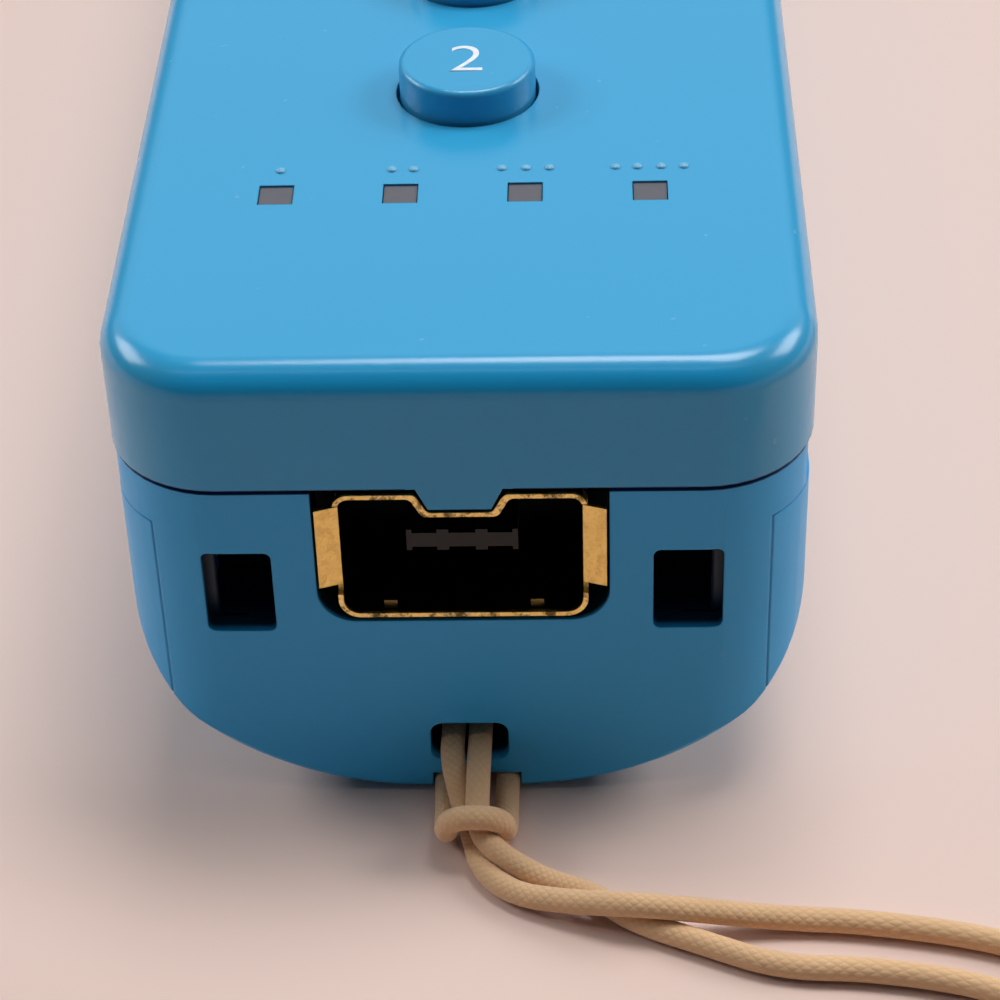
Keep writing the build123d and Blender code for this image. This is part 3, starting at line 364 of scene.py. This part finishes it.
def painted_room_shade(x, z, depth):
    """1 on the walls of the strap end's rooms, where shade is painted, and 0 elsewhere."""
    rooms = [depth.ramped(start * MM, end * MM) * (abs(x) < side * MM) * (z < top * MM) * (z > bottom * MM)
             for side, bottom, top, start, end in SHADED_ROOMS.values()]
    return rooms[0].most(rooms[1]).most(rooms[2]) * (depth < ROOM_DEPTH * MM)


def moulded_plastic(name, colour, roughness, edge, grain=0.00001, coat=0.0, gloss=0.5, end_face_shade=0.0):
    """Moulded plastic: a slight cloudiness, sparse dust, fine grain and light on its edges, with painted
    shade in the seam, on the end face and in the rooms behind it.
    """
    shade = Shade(name)
    vector, (x, y, z) = shade.place()
    depth = y - TAIL
    cloud = shade.noise(vector, 22.0, 2.0)
    body = shade.mix(cloud, toned(colour, 0.97), colour)
    dust = shade.noise(vector, 1300.0, 0.0).ramped(0.83, 0.88)
    body = shade.mix(dust * 0.06, body, DUST)
    # Painted shade: the end face is tinted a deeper blue than the top, which catches more light, in place of
    # the dimmer light that falls on the end face
    end_face_shade_colour = (colour[0] * 0.2, colour[1] * 1.03, min(1.0, colour[2] * 1.16))
    body = shade.mix((1 - depth.ramped(0.1 * MM, 1.3 * MM)) * end_face_shade, body, end_face_shade_colour)
    # Painted shade in the seam between the cases, but not over the key tab
    seam = (abs(z - SEAM) < SEAM_REACH) * (abs(x) > KEY_TAB_SIDE)
    body = shade.mix(seam * 0.85, body, PAINTED_SEAM_SHADE)
    # Painted shade on the walls of the rooms behind the strap end's openings
    body = shade.mix(painted_room_shade(x, z, depth) * 0.95, body, PAINTED_DARKNESS)
    height = shade.noise(vector, 3000.0, 2.0) * 0.6 + shade.noise(vector, 160.0, 1.0)
    normal = shade.bump(height, grain, 0.5, shade.soft_edge(edge))
    rough = roughness + shade.noise(vector, 90.0, 3.0) * 0.05 + dust * 0.06
    return shade.finish(body, rough, normal=normal, Coat_Weight=coat, Coat_Roughness=0.05,
                        Specular_IOR_Level=gloss)


def plain_plastic(name, colour, roughness, grain=0.00001):
    """A dark or hidden moulded plastic with a fine grain."""
    shade = Shade(name)
    vector, _ = shade.place()
    fine = shade.noise(vector, 1500.0)
    body = shade.mix(fine, toned(colour, 0.8), colour)
    return shade.finish(body, roughness + fine * 0.1, normal=shade.bump(fine, grain, 0.4))


def parted_plastic(name, colour, roughness):
    """The strap's moulded fittings: fine grain, with a parting line round the middle."""
    shade = Shade(name)
    vector, (_, _, z) = shade.place()
    fine = shade.noise(vector, 1500.0)
    parting = abs(z - BAND_MIDDLE) < 0.12 * MM
    body = shade.mix(fine, toned(colour, 0.86), colour)
    body = shade.mix(parting * 0.5, body, toned(colour, 0.45))
    height = fine * 0.3 - parting
    return shade.finish(body, roughness + fine * 0.1, normal=shade.bump(height, 0.00006, 0.5))


def print_ink(name, colour):
    """Pad-printed ink, thin in places."""
    shade = Shade(name)
    vector, _ = shade.place()
    thin = shade.noise(vector, 2400.0, 2.0).ramped(0.35, 0.7)
    body = shade.mix(thin, toned(colour, 0.86), colour)
    return shade.finish(body, 0.42 + thin * 0.1, normal=shade.bump(thin, 0.000005, 0.4))


def worked_metal(name, colour, roughness, scratches=0.3):
    """Thin sheet or turned metal with fine rolling marks."""
    shade = Shade(name)
    vector, _ = shade.place()
    inputs = {"Vector": vector, "Scale": (400.0, 60.0, 400.0)}
    marks = shade.noise(shade.field("ShaderNodeMapping", "Vector", None, inputs), 8.0)
    blotch = shade.noise(vector, 900.0)
    body = shade.mix(marks * 0.5 + blotch * 0.5, toned(colour, 0.72), colour)
    rough = roughness + blotch * 0.12
    return shade.finish(body, rough, metallic=1.0, normal=shade.bump(marks, 0.00001, scratches))


def worn_gold(name, colour):
    """Plated sheet of the socket: bright at the mouth, rubbed dark on the lips, with bright flecks there of
    worn plating and painted highlight, and painted shade past the mouth.
    """
    shade = Shade(name)
    vector, (x, y, z) = shade.place()
    depth = y - (TAIL + 0.05 * MM)
    flares = (abs(x) > 6.2 * MM) * (depth < 0.75 * MM)
    # Painted shade: past the mouth the sheet is painted near black, except on the flares
    inside = depth.ramped(0.02 * MM, 0.3 * MM) * (1 - flares)
    # Two pressed ribs in the floor of the mouth get less of the painted shade, so they show as faint painted
    # glints
    rib_glints = (abs(abs(x) - 3.8 * MM) < 0.37 * MM) * (z < 13.5 * MM) * (depth < 0.6 * MM) * (z > 12.9 * MM)
    inside = inside * (1 - rib_glints * 0.25)
    lips = (depth < 0.05 * MM) * (abs(x) < 6.6 * MM)
    rubs = shade.noise(vector, 1900.0, 4.0, 0.65).ramped(0.46, 0.62)
    flakes_and_glints = shade.noise(vector, 5200.0, 3.0, 0.6).ramped(0.5, 0.66)
    body = shade.mix(shade.noise(vector, 500.0), toned(colour, 0.82), colour)
    body = shade.mix(lips * rubs * 0.85, body, linear(52, 34, 18))
    # Bright flecks on the lips: partly worn plating and partly painted highlight
    body = shade.mix(lips * flakes_and_glints * 0.7, body, linear(255, 232, 170))
    body = shade.mix((1 - lips) * flakes_and_glints * 0.25, body, toned(colour, 0.6))
    # The painted shade past the mouth
    body = shade.mix(inside * 0.985, body, (0.003, 0.002, 0.002))
    normal = shade.bump(flakes_and_glints * 0.6 + rubs, 0.00002, 0.5, shade.soft_edge(0.00006))
    return shade.finish(body, 0.3 + rubs * 0.2, metallic=1.0, normal=normal)


def woven_cord(name, colour, plaits, strands):
    """Round braided cord: two sets of crossing yarns that follow the cord's own map."""
    shade = Shade(name)
    along, around = shade.cord_map()
    vector, _ = shade.place()
    fuzz = shade.noise(vector, 5200.0, 4.0, 0.7)
    drift = shade.noise(vector, 900.0, 2.0) * 0.16
    one = (along * plaits + around * strands + drift).fraction()
    two = (along * plaits - around * strands + drift).fraction()
    weave = (1 - (one * 2 - 1) ** 2) * (1 - (two * 2 - 1) ** 2)
    dirt = shade.noise(vector, 260.0).ramped(0.35, 0.75)
    pale = shade.mix(dirt * 0.4, colour, toned(colour, 0.76))
    body = shade.mix(weave.ramped(0.0, 0.5), toned(colour, 0.9), pale)
    body = shade.mix(fuzz.ramped(0.58, 0.75) * 0.35, body, toned(colour, 1.3))
    normal = shade.bump(weave + fuzz * 0.8, 0.00004, 0.6)
    return shade.finish(body, 0.9, normal=normal, Sheen_Weight=0.25, Sheen_Roughness=0.5)


def woven_band(name, colour):
    """Flat webbing: ribs across its width, crossed by a finer weft."""
    shade = Shade(name)
    vector, (x, y, z) = shade.place()
    weft = (z * 1600.0).fraction()
    rib = ((x + y) * 1400.0 + weft * 0.5).fraction()
    weave = (1 - (rib * 2 - 1) ** 2) * (1 - (weft * 2 - 1) ** 2)
    fuzz = shade.noise(vector, 3600.0, 3.0, 0.7)
    selvedge = (abs(z - BAND_MIDDLE) > 4.3 * MM) * 0.12
    body = shade.mix(weave.ramped(0.0, 0.6), toned(colour, 0.6), colour)
    body = shade.mix(selvedge + fuzz * 0.15, body, toned(colour, 0.6))
    return shade.finish(body, 0.88, normal=shade.bump(weave + fuzz * 0.5, 0.00009, 0.8), Sheen_Weight=0.25)


def circuit_board(name):
    """Green lacquer over copper tracks, with bare pads."""
    shade = Shade(name)
    vector, (x, _, _) = shade.place()
    bend = shade.noise(vector, 260.0, 1.0) * 1.5
    track = (abs((x * 620.0 + bend).fraction() * 2 - 1) > 0.62) * (shade.noise(vector, 90.0, 0.0) > 0.46)
    pads = shade.field("ShaderNodeTexVoronoi", "Distance", None, {"Vector": vector, "Scale": 420.0}) < 0.13
    body = shade.mix(track, (0.008, 0.075, 0.035), (0.02, 0.17, 0.07))
    body = shade.mix(pads, body, (0.62, 0.5, 0.25))
    return shade.finish(body, 0.32, normal=shade.bump(track * 0.5 + pads, 0.00003, 0.5))


def cell_sleeve(name):
    """A dry cell: a dark sleeve with a copper-coloured band at one end, turned about on the second cell."""
    shade = Shade(name)
    vector, (x, y, _) = shade.place()
    scuff = shade.noise(vector, 400.0, 4.0, 0.7)
    band = (y * 52.0 + (x > 0) * 0.9).fraction() > 0.72
    body = shade.mix(band, (0.018, 0.02, 0.024), (0.55, 0.27, 0.1))
    body = shade.mix(scuff.ramped(0.6, 0.8) * 0.3, body, (0.4, 0.4, 0.4))
    normal = shade.bump(scuff, 0.00001, 0.3)
    return shade.finish(body, 0.24 + scuff * 0.15, metallic=band * 0.9, normal=normal)


MATERIALS = {}


def make_materials():
    """Every finish of the wand, under the name of the slot that it dresses."""
    shell = bpy.context.scene.wand_shell
    strap = bpy.context.scene.wand_strap
    MATERIALS.update({
        "shell": moulded_plastic("glossy_blue_plastic", shell.colour, 0.2, shell.edge, end_face_shade=0.9),
        "shell_lower": moulded_plastic(
            "satin_blue_plastic", shell.lower_colour, 0.38, shell.edge, 0.00002, gloss=0.35),
        "button": moulded_plastic("button_blue_plastic", shell.colour, 0.24, shell.edge),
        "clear_button": moulded_plastic("clear_blue_plastic", shell.colour, 0.12, shell.edge, coat=0.5),
        "print_white": print_ink("white_ink", linear(226, 232, 240)),
        # Painted highlight: the raised player dots are paler than the shell, standing in for the light that
        # they catch
        "dot": plain_plastic("rubbed_dots", linear(112, 182, 216), 0.35),
        "rubber": plain_plastic("grey_silicone", (0.45, 0.47, 0.48), 0.6),
        "gold": worn_gold("gold_plated_sheet", (1.0, 0.7, 0.23)),
        "steel": worked_metal("bright_steel", (0.6, 0.6, 0.62), 0.3),
        "black_plastic": plain_plastic("black_moulding", (0.007, 0.007, 0.008), 0.5, 0.00002),
        "board": circuit_board("green_board"),
        "light_window": plain_plastic("smoky_window", linear(92, 92, 100), 0.3),
        "light_chip": plain_plastic("pale_chip", (0.6, 0.62, 0.64), 0.3),
        "dark_window": plain_plastic("dark_window", (0.006, 0.004, 0.008), 0.06, 0.000002),
        "cell": cell_sleeve("cell_sleeve"),
        "red_plastic": plain_plastic("red_plastic", (0.5, 0.03, 0.02), 0.35),
        "speaker_cone": plain_plastic("speaker_cone", (0.02, 0.02, 0.022), 0.7, 0.00003),
        "cord": woven_cord("braided_cord", strap.colour, 250.0, 9.0),
        "webbing": woven_band("band_webbing", strap.colour),
        "strap_plastic": parted_plastic("tan_plastic", linear(190, 158, 124), 0.45),
    })


# The route of the strap cord, in millimetres from the strap end's face, as in the part's source
CORD_ROUTE = [
    (46.00, -17.60, 2.60), (41.00, -17.60, 2.40), (34.40, -14.80, 0.70), (27.40, -11.70, 0.70),
    (20.90, -10.40, 0.70), (16.20, -10.10, 0.72), (12.60, -10.30, 1.45), (9.20, -10.50, 2.15),
    (5.40, -9.40, 1.25), (2.30, -8.25, 0.68), (0.65, -6.35, 0.68), (0.22, -4.10, 0.70),
    (-0.35, -2.70, 1.75), (-0.98, -0.75, 3.25), (-0.88, 2.00, 3.45), (-0.90, 5.10, 3.45),
    (-1.30, 5.10, 0.72), (-1.38, 2.00, 0.72), (-1.30, -1.20, 0.72), (-1.25, -4.05, 0.78),
    (-1.05, -5.10, 3.15), (1.80, -5.10, 3.15), (1.95, -4.05, 0.78), (1.95, -1.20, 0.74),
    (2.02, 2.00, 0.72), (1.95, 5.10, 0.72), (0.55, 5.10, 3.45), (0.58, 2.00, 3.45),
    (0.50, -1.20, 3.40), (0.40, -4.70, 1.98), (1.60, -6.15, 1.50), (4.10, -7.35, 0.70),
    (6.50, -8.20, 0.68), (8.60, -10.20, 0.68), (12.00, -11.70, 0.68), (16.00, -13.50, 0.68),
    (20.70, -13.60, 0.70), (27.20, -15.00, 0.70), (34.00, -19.40, 0.70), (41.00, -20.40, 2.40),
    (46.00, -20.40, 2.60),
]


def route_curve(name, points):
    """An open spline with the route's points as its control points."""
    curve = bpy.data.curves.new(name, "CURVE")
    curve.dimensions = "3D"
    curve.resolution_u = 24
    spline = curve.splines.new("NURBS")
    spline.points.add(len(points) - 1)
    for point, place in zip(spline.points, points):
        point.co = (*place, 1.0)
    spline.order_u = 3
    spline.use_endpoint_u = True
    return curve


class WAND_OT_strap(bpy.types.Operator):
    """Make the wrist cord, its joiner, the band and its slider"""

    bl_idname = "wand.strap"
    bl_label = "Strap"

    def execute(self, context):
        strap = context.scene.wand_strap
        points = [(x * MM, TAIL + y * MM, z * MM) for x, y, z in CORD_ROUTE]
        curve = route_curve("strap_cord_braid", points)
        curve.bevel_depth = strap.diameter / 2
        curve.bevel_resolution = 6
        cord = add_object("strap_cord_braid", curve)
        settle(cord, ["strap_cord"], MATERIALS["cord"])
        joiner = dressed("cord_joiner", "strap_plastic", "_body")
        slider = dressed("strap_slider", "strap_plastic", "_frame")
        band = dressed("wristband", "webbing", "_webbing")
        return {"FINISHED"}


class WAND_OT_cases(bpy.types.Operator):
    """Dress the front case, the rear case, the battery cover and the trigger"""

    bl_idname = "wand.cases"
    bl_label = "Cases"

    def execute(self, context):
        for node in CASES:
            dressed(node, "shell" if node == "front_case" else "shell_lower", "_shell")
        return {"FINISHED"}


class WAND_OT_works(bpy.types.Operator):
    """Dress every other CAD piece with its finish"""

    bl_idname = "wand.works"
    bl_label = "Works"

    def execute(self, context):
        for part in frame["record"]["subparts"]:
            if part["node"] not in CASES + STRAP:
                dressed(part["node"], part["material_slot"])
        # The real spring shortens towards the board as the trigger is pulled; here it only gets a mesh of its
        # own
        spring = bpy.data.objects["trigger_spring_form"]
        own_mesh(spring)
        return {"FINISHED"}


# Prints are this thick, with this share of it sunk in the plastic, and their letters are drawn thinner
INK_DEPTH = 0.00004
INK_SUNK = 0.4
LETTER_OFFSET = -0.012


def spans_of(places):
    """The least and the greatest value of a list of places along each axis."""
    return [(min(place[axis] for place in places), max(place[axis] for place in places)) for axis in range(3)]


def middle_of(node):
    """Middle of a CAD node across and along the wand, and the height of its top."""
    spans = spans_of([vertex.co for vertex in NODES[node].data.vertices])
    return sum(spans[0]) / 2, sum(spans[1]) / 2, spans[2][1]


def flat_mark(name, outlines, centre, size, material, body):
    """A thin print: closed outlines or a text, made a mesh and then fitted to its place and size."""
    if isinstance(outlines, str):
        curve = bpy.data.curves.new(name, "FONT")
        curve.body = outlines
        curve.offset = LETTER_OFFSET
    else:
        curve = bpy.data.curves.new(name, "CURVE")
        curve.dimensions = "2D"
        for outline in outlines:
            spline = curve.splines.new("POLY")
            spline.points.add(len(outline) - 1)
            for point, place in zip(spline.points, outline):
                point.co = (*place, 0.0, 1.0)
            spline.use_cyclic_u = True
    curve.fill_mode = "BOTH"
    curve.extrude = 0.5
    mark = baked(add_object(name, curve))
    places = [vertex.co for vertex in mark.data.vertices]
    spans = spans_of(places)
    for place in places:
        shares = [(place[axis] - low) / (high - low) for axis, (low, high) in enumerate(spans)]
        place.x = centre[0] + (shares[0] - 0.5) * size[0]
        place.y = centre[1] + (shares[1] - 0.5) * size[1]
        place.z = centre[2] + (shares[2] - INK_SUNK) * INK_DEPTH
    return settle(mark, [], material, body)


def repeated(name, places, radius, height):
    """Small domes on a list of places, repeated by a Geometry Nodes modifier and then baked."""
    mesh = bpy.data.meshes.new(name)
    mesh.from_pydata(places, [], [])
    piece = add_object(name, mesh)
    group = bpy.data.node_groups.new(name + "_nodes", "GeometryNodeTree")
    group.interface.new_socket("Geometry", in_out="INPUT", socket_type="NodeSocketGeometry")
    for label in ("Radius", "Height"):
        group.interface.new_socket(label, in_out="INPUT", socket_type="NodeSocketFloat")
    group.interface.new_socket("Geometry", in_out="OUTPUT", socket_type="NodeSocketGeometry")
    add = group.nodes.new
    source, result = add("NodeGroupInput"), add("NodeGroupOutput")
    dome, form = add("GeometryNodeMeshUVSphere"), add("GeometryNodeTransform")
    for label, value in (("Segments", 20), ("Rings", 12), ("Radius", 1.0)):
        dome.inputs[label].default_value = value
    scale, points = add("ShaderNodeCombineXYZ"), add("GeometryNodeMeshToPoints")
    instances, real = add("GeometryNodeInstanceOnPoints"), add("GeometryNodeRealizeInstances")
    smooth = add("GeometryNodeSetShadeSmooth")
    for first, output, second, socket in (
            (source, "Radius", scale, "X"), (source, "Radius", scale, "Y"), (source, "Height", scale, "Z"),
            (dome, "Mesh", form, "Geometry"), (scale, "Vector", form, "Scale"),
            (source, "Geometry", points, "Mesh"), (points, "Points", instances, "Points"),
            (form, "Geometry", instances, "Instance"), (instances, "Instances", real, "Geometry"),
            (real, "Geometry", smooth, "Geometry"), (smooth, "Geometry", result, "Geometry")):
        group.links.new(first.outputs[output], second.inputs[socket])
    modifier = piece.modifiers.new("repeat", "NODES")
    modifier.node_group = group
    sockets = {item.name: item.identifier for item in group.interface.items_tree if item.in_out == "INPUT"}
    modifier[sockets["Radius"]] = radius
    modifier[sockets["Height"]] = height
    return baked(piece)


RING_STEPS = 40


def ring_outline(radius, inner, gap_turn):
    """A ring as one closed outline, with a gap of so many degrees to either side of its top."""
    start, end = 90 + gap_turn, 450 - gap_turn
    angles = [math.radians(start + (end - start) * i / RING_STEPS) for i in range(RING_STEPS + 1)]
    outside = [(radius * math.cos(angle), radius * math.sin(angle)) for angle in angles]
    inside = [(inner * math.cos(angle), inner * math.sin(angle)) for angle in reversed(angles)]
    return outside + inside


# Outlines of the signs, each in a measure of its own, for a print is fitted to its size
HOUSE = [[(-5, -4), (5, -4), (5, 1), (6.4, 1), (0, 6.5), (-6.4, 1), (-5, 1)],
         [(-3.7, -2.8), (-3.7, 1.6), (0, 4.7), (3.7, 1.6), (3.7, -2.8)]]
MINUS = [[(-1, -0.16), (1, -0.16), (1, 0.16), (-1, 0.16)]]
PLUS = [[(-1, -0.16), (-0.16, -0.16), (-0.16, -1), (0.16, -1), (0.16, -0.16), (1, -0.16),
         (1, 0.16), (0.16, 0.16), (0.16, 1), (-0.16, 1), (-0.16, 0.16), (-1, 0.16)]]
POWER = [ring_outline(1.0, 0.74, 32), [(-0.13, 0.1), (0.13, 0.1), (0.13, 1.2), (-0.13, 1.2)]]
ONE = [[(0.05, 0), (0.42, 0), (0.42, 2.72), (0.14, 2.72), (-0.5, 2.2), (-0.5, 1.82), (0.05, 2.24)]]

# The print of each button, with its width and height in millimetres
SIGNS = {
    "button_2": ("2", 1.78, 2.72),
    "button_1": (ONE, 0.92, 2.72),
    "minus_button": (MINUS, 2.0, 0.34),
    "plus_button": (PLUS, 2.0, 2.0),
    "home_button": (HOUSE, 2.3, 1.9),
    "a_button": ("A", 3.1, 3.5),
    "power_button": (POWER, 2.0, 2.2),
}

# Player dots: their places across the wand, light by light, how far they are from the strap end, both in
# millimetres, and how high they stand
DOT_ROWS = [[-9.81], [-3.84, -2.68], [2.04, 3.33, 4.58], [8.10, 9.27, 10.54, 11.75]]
DOT_DISTANCE = 18.6
DOT_HEIGHT = 0.00016


class WAND_OT_marks(bpy.types.Operator):
    """Print the buttons' signs and raise the player dots over the lights"""

    bl_idname = "wand.marks"
    bl_label = "Marks"

    def execute(self, context):
        for node, (sign, width, height) in SIGNS.items():
            size = (width * MM, height * MM)
            flat_mark(node + "_sign", sign, middle_of(node), size, MATERIALS["print_white"], BODY_OF[node])
        places = [(x * MM, TAIL + DOT_DISTANCE * MM, TOP) for row in DOT_ROWS for x in row]
        dots = repeated("player_dots", places, context.scene.wand_shell.dot_radius, DOT_HEIGHT)
        settle(dots, [], MATERIALS["dot"], BODY_OF["front_case"])
        return {"FINISHED"}


# Each lamp's name, place, aim, width, height and share of the power that the panel sets
LAMPS = [
    ("main_lamp", (0.12, 0.15, 0.78), (0.0, -0.05, 0.0), 0.46, 0.26, 1.25),
    ("front_tube", (0.0, -0.30, 0.80), (0.0, -0.07, 0.0), 1.0, 0.04, 0.12),
    ("back_card", (0.0, 0.90, 0.68), (0.0, 0.0, 0.02), 2.4, 0.6, 1.0),
    ("right_card", (0.84, 0.22, 0.61), (0.0, -0.05, 0.0), 0.6, 0.4, 1.9),
    ("left_card", (-0.84, 0.22, 0.61), (0.0, -0.05, 0.0), 0.6, 0.4, 1.7),
]

# Painted shade: the floor is darker in front of the wand, with a soft edge between these two places along the
# wand
FLOOR_EDGE = (-0.105, -0.07)
FLOOR_FRONT_SHADE = 0.75

# The even light from all round, and the backdrop past the floor
SKY = (0.55, 0.78, 1.0)
BACKDROP = linear(212, 192, 184)

# The camera that was solved for the photo: its turns in degrees, its place in metres, its lens in millimetres
CAMERA_TURNS = (-2.197, 38.401, -1.916)
CAMERA_PLACE = (0.00654, -0.19089, 0.11306)
CAMERA_LENS = 107.13


def make_floor(stage):
    """A plain floor, with painted shade in front of the wand."""
    form = bmesh.new()
    bmesh.ops.create_grid(form, x_segments=1, y_segments=1, size=2.0)
    mesh = bpy.data.meshes.new("floor")
    form.to_mesh(mesh)
    form.free()
    floor = add_object("floor", mesh)
    shade = Shade("pale_floor")
    vector, (_, y, _) = shade.place()
    colour = tuple(stage.floor_colour)
    body = shade.mix(shade.noise(vector, 6.0, 2.0), toned(colour, 0.97), colour)
    # Painted shade in front of the wand
    body = shade.mix(y.ramped(*FLOOR_EDGE), toned(colour, FLOOR_FRONT_SHADE), body)
    floor.data.materials.append(shade.finish(body, 0.6))


def make_world(stage):
    """A weak bluish light from all round, and a pale backdrop that the camera alone sees."""
    world = bpy.data.worlds.new("soft_world")
    world.use_nodes = True
    nodes, link = world.node_tree.nodes, world.node_tree.links.new
    background = nodes["Background"]
    background.inputs["Color"].default_value = opaque(SKY)
    background.inputs["Strength"].default_value = stage.world_level
    backdrop = nodes.new("ShaderNodeBackground")
    backdrop.inputs["Color"].default_value = opaque(BACKDROP)
    choice = nodes.new("ShaderNodeMixShader")
    link(nodes.new("ShaderNodeLightPath").outputs["Is Camera Ray"], choice.inputs[0])
    link(background.outputs[0], choice.inputs[1])
    link(backdrop.outputs[0], choice.inputs[2])
    link(choice.outputs[0], nodes["World Output"].inputs["Surface"])
    bpy.context.scene.world = world


def make_lamps(stage):
    for name, place, target, width, height, share in LAMPS:
        lamp = bpy.data.lights.new(name, "AREA")
        lamp.shape = "RECTANGLE"
        lamp.size = width
        lamp.size_y = height
        lamp.energy = stage.key_power * share
        holder = add_object(name, lamp)
        holder.location = place
        aim = Vector(target) - Vector(place)
        holder.rotation_euler = aim.to_track_quat("-Z", "Y").to_euler()


def make_camera():
    """The photo's camera, turned about the upright first, then down, then about its own line of sight."""
    yaw, pitch, roll = (math.radians(angle) for angle in CAMERA_TURNS)
    forward = Vector((math.sin(yaw) * math.cos(pitch), math.cos(yaw) * math.cos(pitch), -math.sin(pitch)))
    level = Vector((math.cos(yaw), -math.sin(yaw), 0.0))
    over = level.cross(forward)
    right = math.cos(roll) * level + math.sin(roll) * over
    upward = -math.sin(roll) * level + math.cos(roll) * over
    lens = bpy.data.cameras.new("photo_camera")
    lens.lens = CAMERA_LENS
    lens.sensor_width = 36.0
    lens.clip_start = 0.01
    camera = add_object("photo_camera", lens)
    turn = Matrix((right, upward, -forward)).transposed()
    camera.matrix_world = Matrix.Translation(CAMERA_PLACE) @ turn.to_4x4()
    bpy.context.scene.camera = camera


class WAND_OT_stage(bpy.types.Operator):
    """Make the floor, the lamps, the world and the camera"""

    bl_idname = "wand.stage"
    bl_label = "Stage"

    def execute(self, context):
        stage = context.scene.wand_stage
        make_floor(stage)
        make_world(stage)
        make_lamps(stage)
        make_camera()
        context.scene.view_settings.view_transform = "Standard"
        return {"FINISHED"}


class WAND_PT_panel(bpy.types.Panel):
    """Sidebar panel with the wand's settings and steps"""

    bl_idname = "WAND_PT_panel"
    bl_label = "Motion Controller Wand"
    bl_space_type = "VIEW_3D"
    bl_region_type = "UI"
    bl_category = "Wand"

    def draw(self, context):
        for group in ("wand_shell", "wand_strap", "wand_stage"):
            settings = getattr(context.scene, group)
            box = self.layout.box()
            for name in settings.__annotations__:
                box.prop(settings, name)
        for step in STEPS:
            self.layout.operator(step.bl_idname)


SETTINGS = {"wand_shell": ShellSettings, "wand_strap": StrapSettings, "wand_stage": StageSettings}
STEPS = (WAND_OT_stage, WAND_OT_strap, WAND_OT_cases, WAND_OT_works, WAND_OT_marks)


def register():
    for kind in (*SETTINGS.values(), *STEPS, WAND_PT_panel):
        bpy.utils.register_class(kind)
    for name, kind in SETTINGS.items():
        setattr(bpy.types.Scene, name, bpy.props.PointerProperty(type=kind))


def unregister():
    for name in SETTINGS:
        delattr(bpy.types.Scene, name)
    for kind in (WAND_PT_panel, *reversed(STEPS), *SETTINGS.values()):
        bpy.utils.unregister_class(kind)


def main():
    """Register the add-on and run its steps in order."""
    register()
    make_materials()
    for step in STEPS:
        group, name = step.bl_idname.split(".")
        getattr(getattr(bpy.ops, group), name)()


if __name__ == "__main__":
    main()
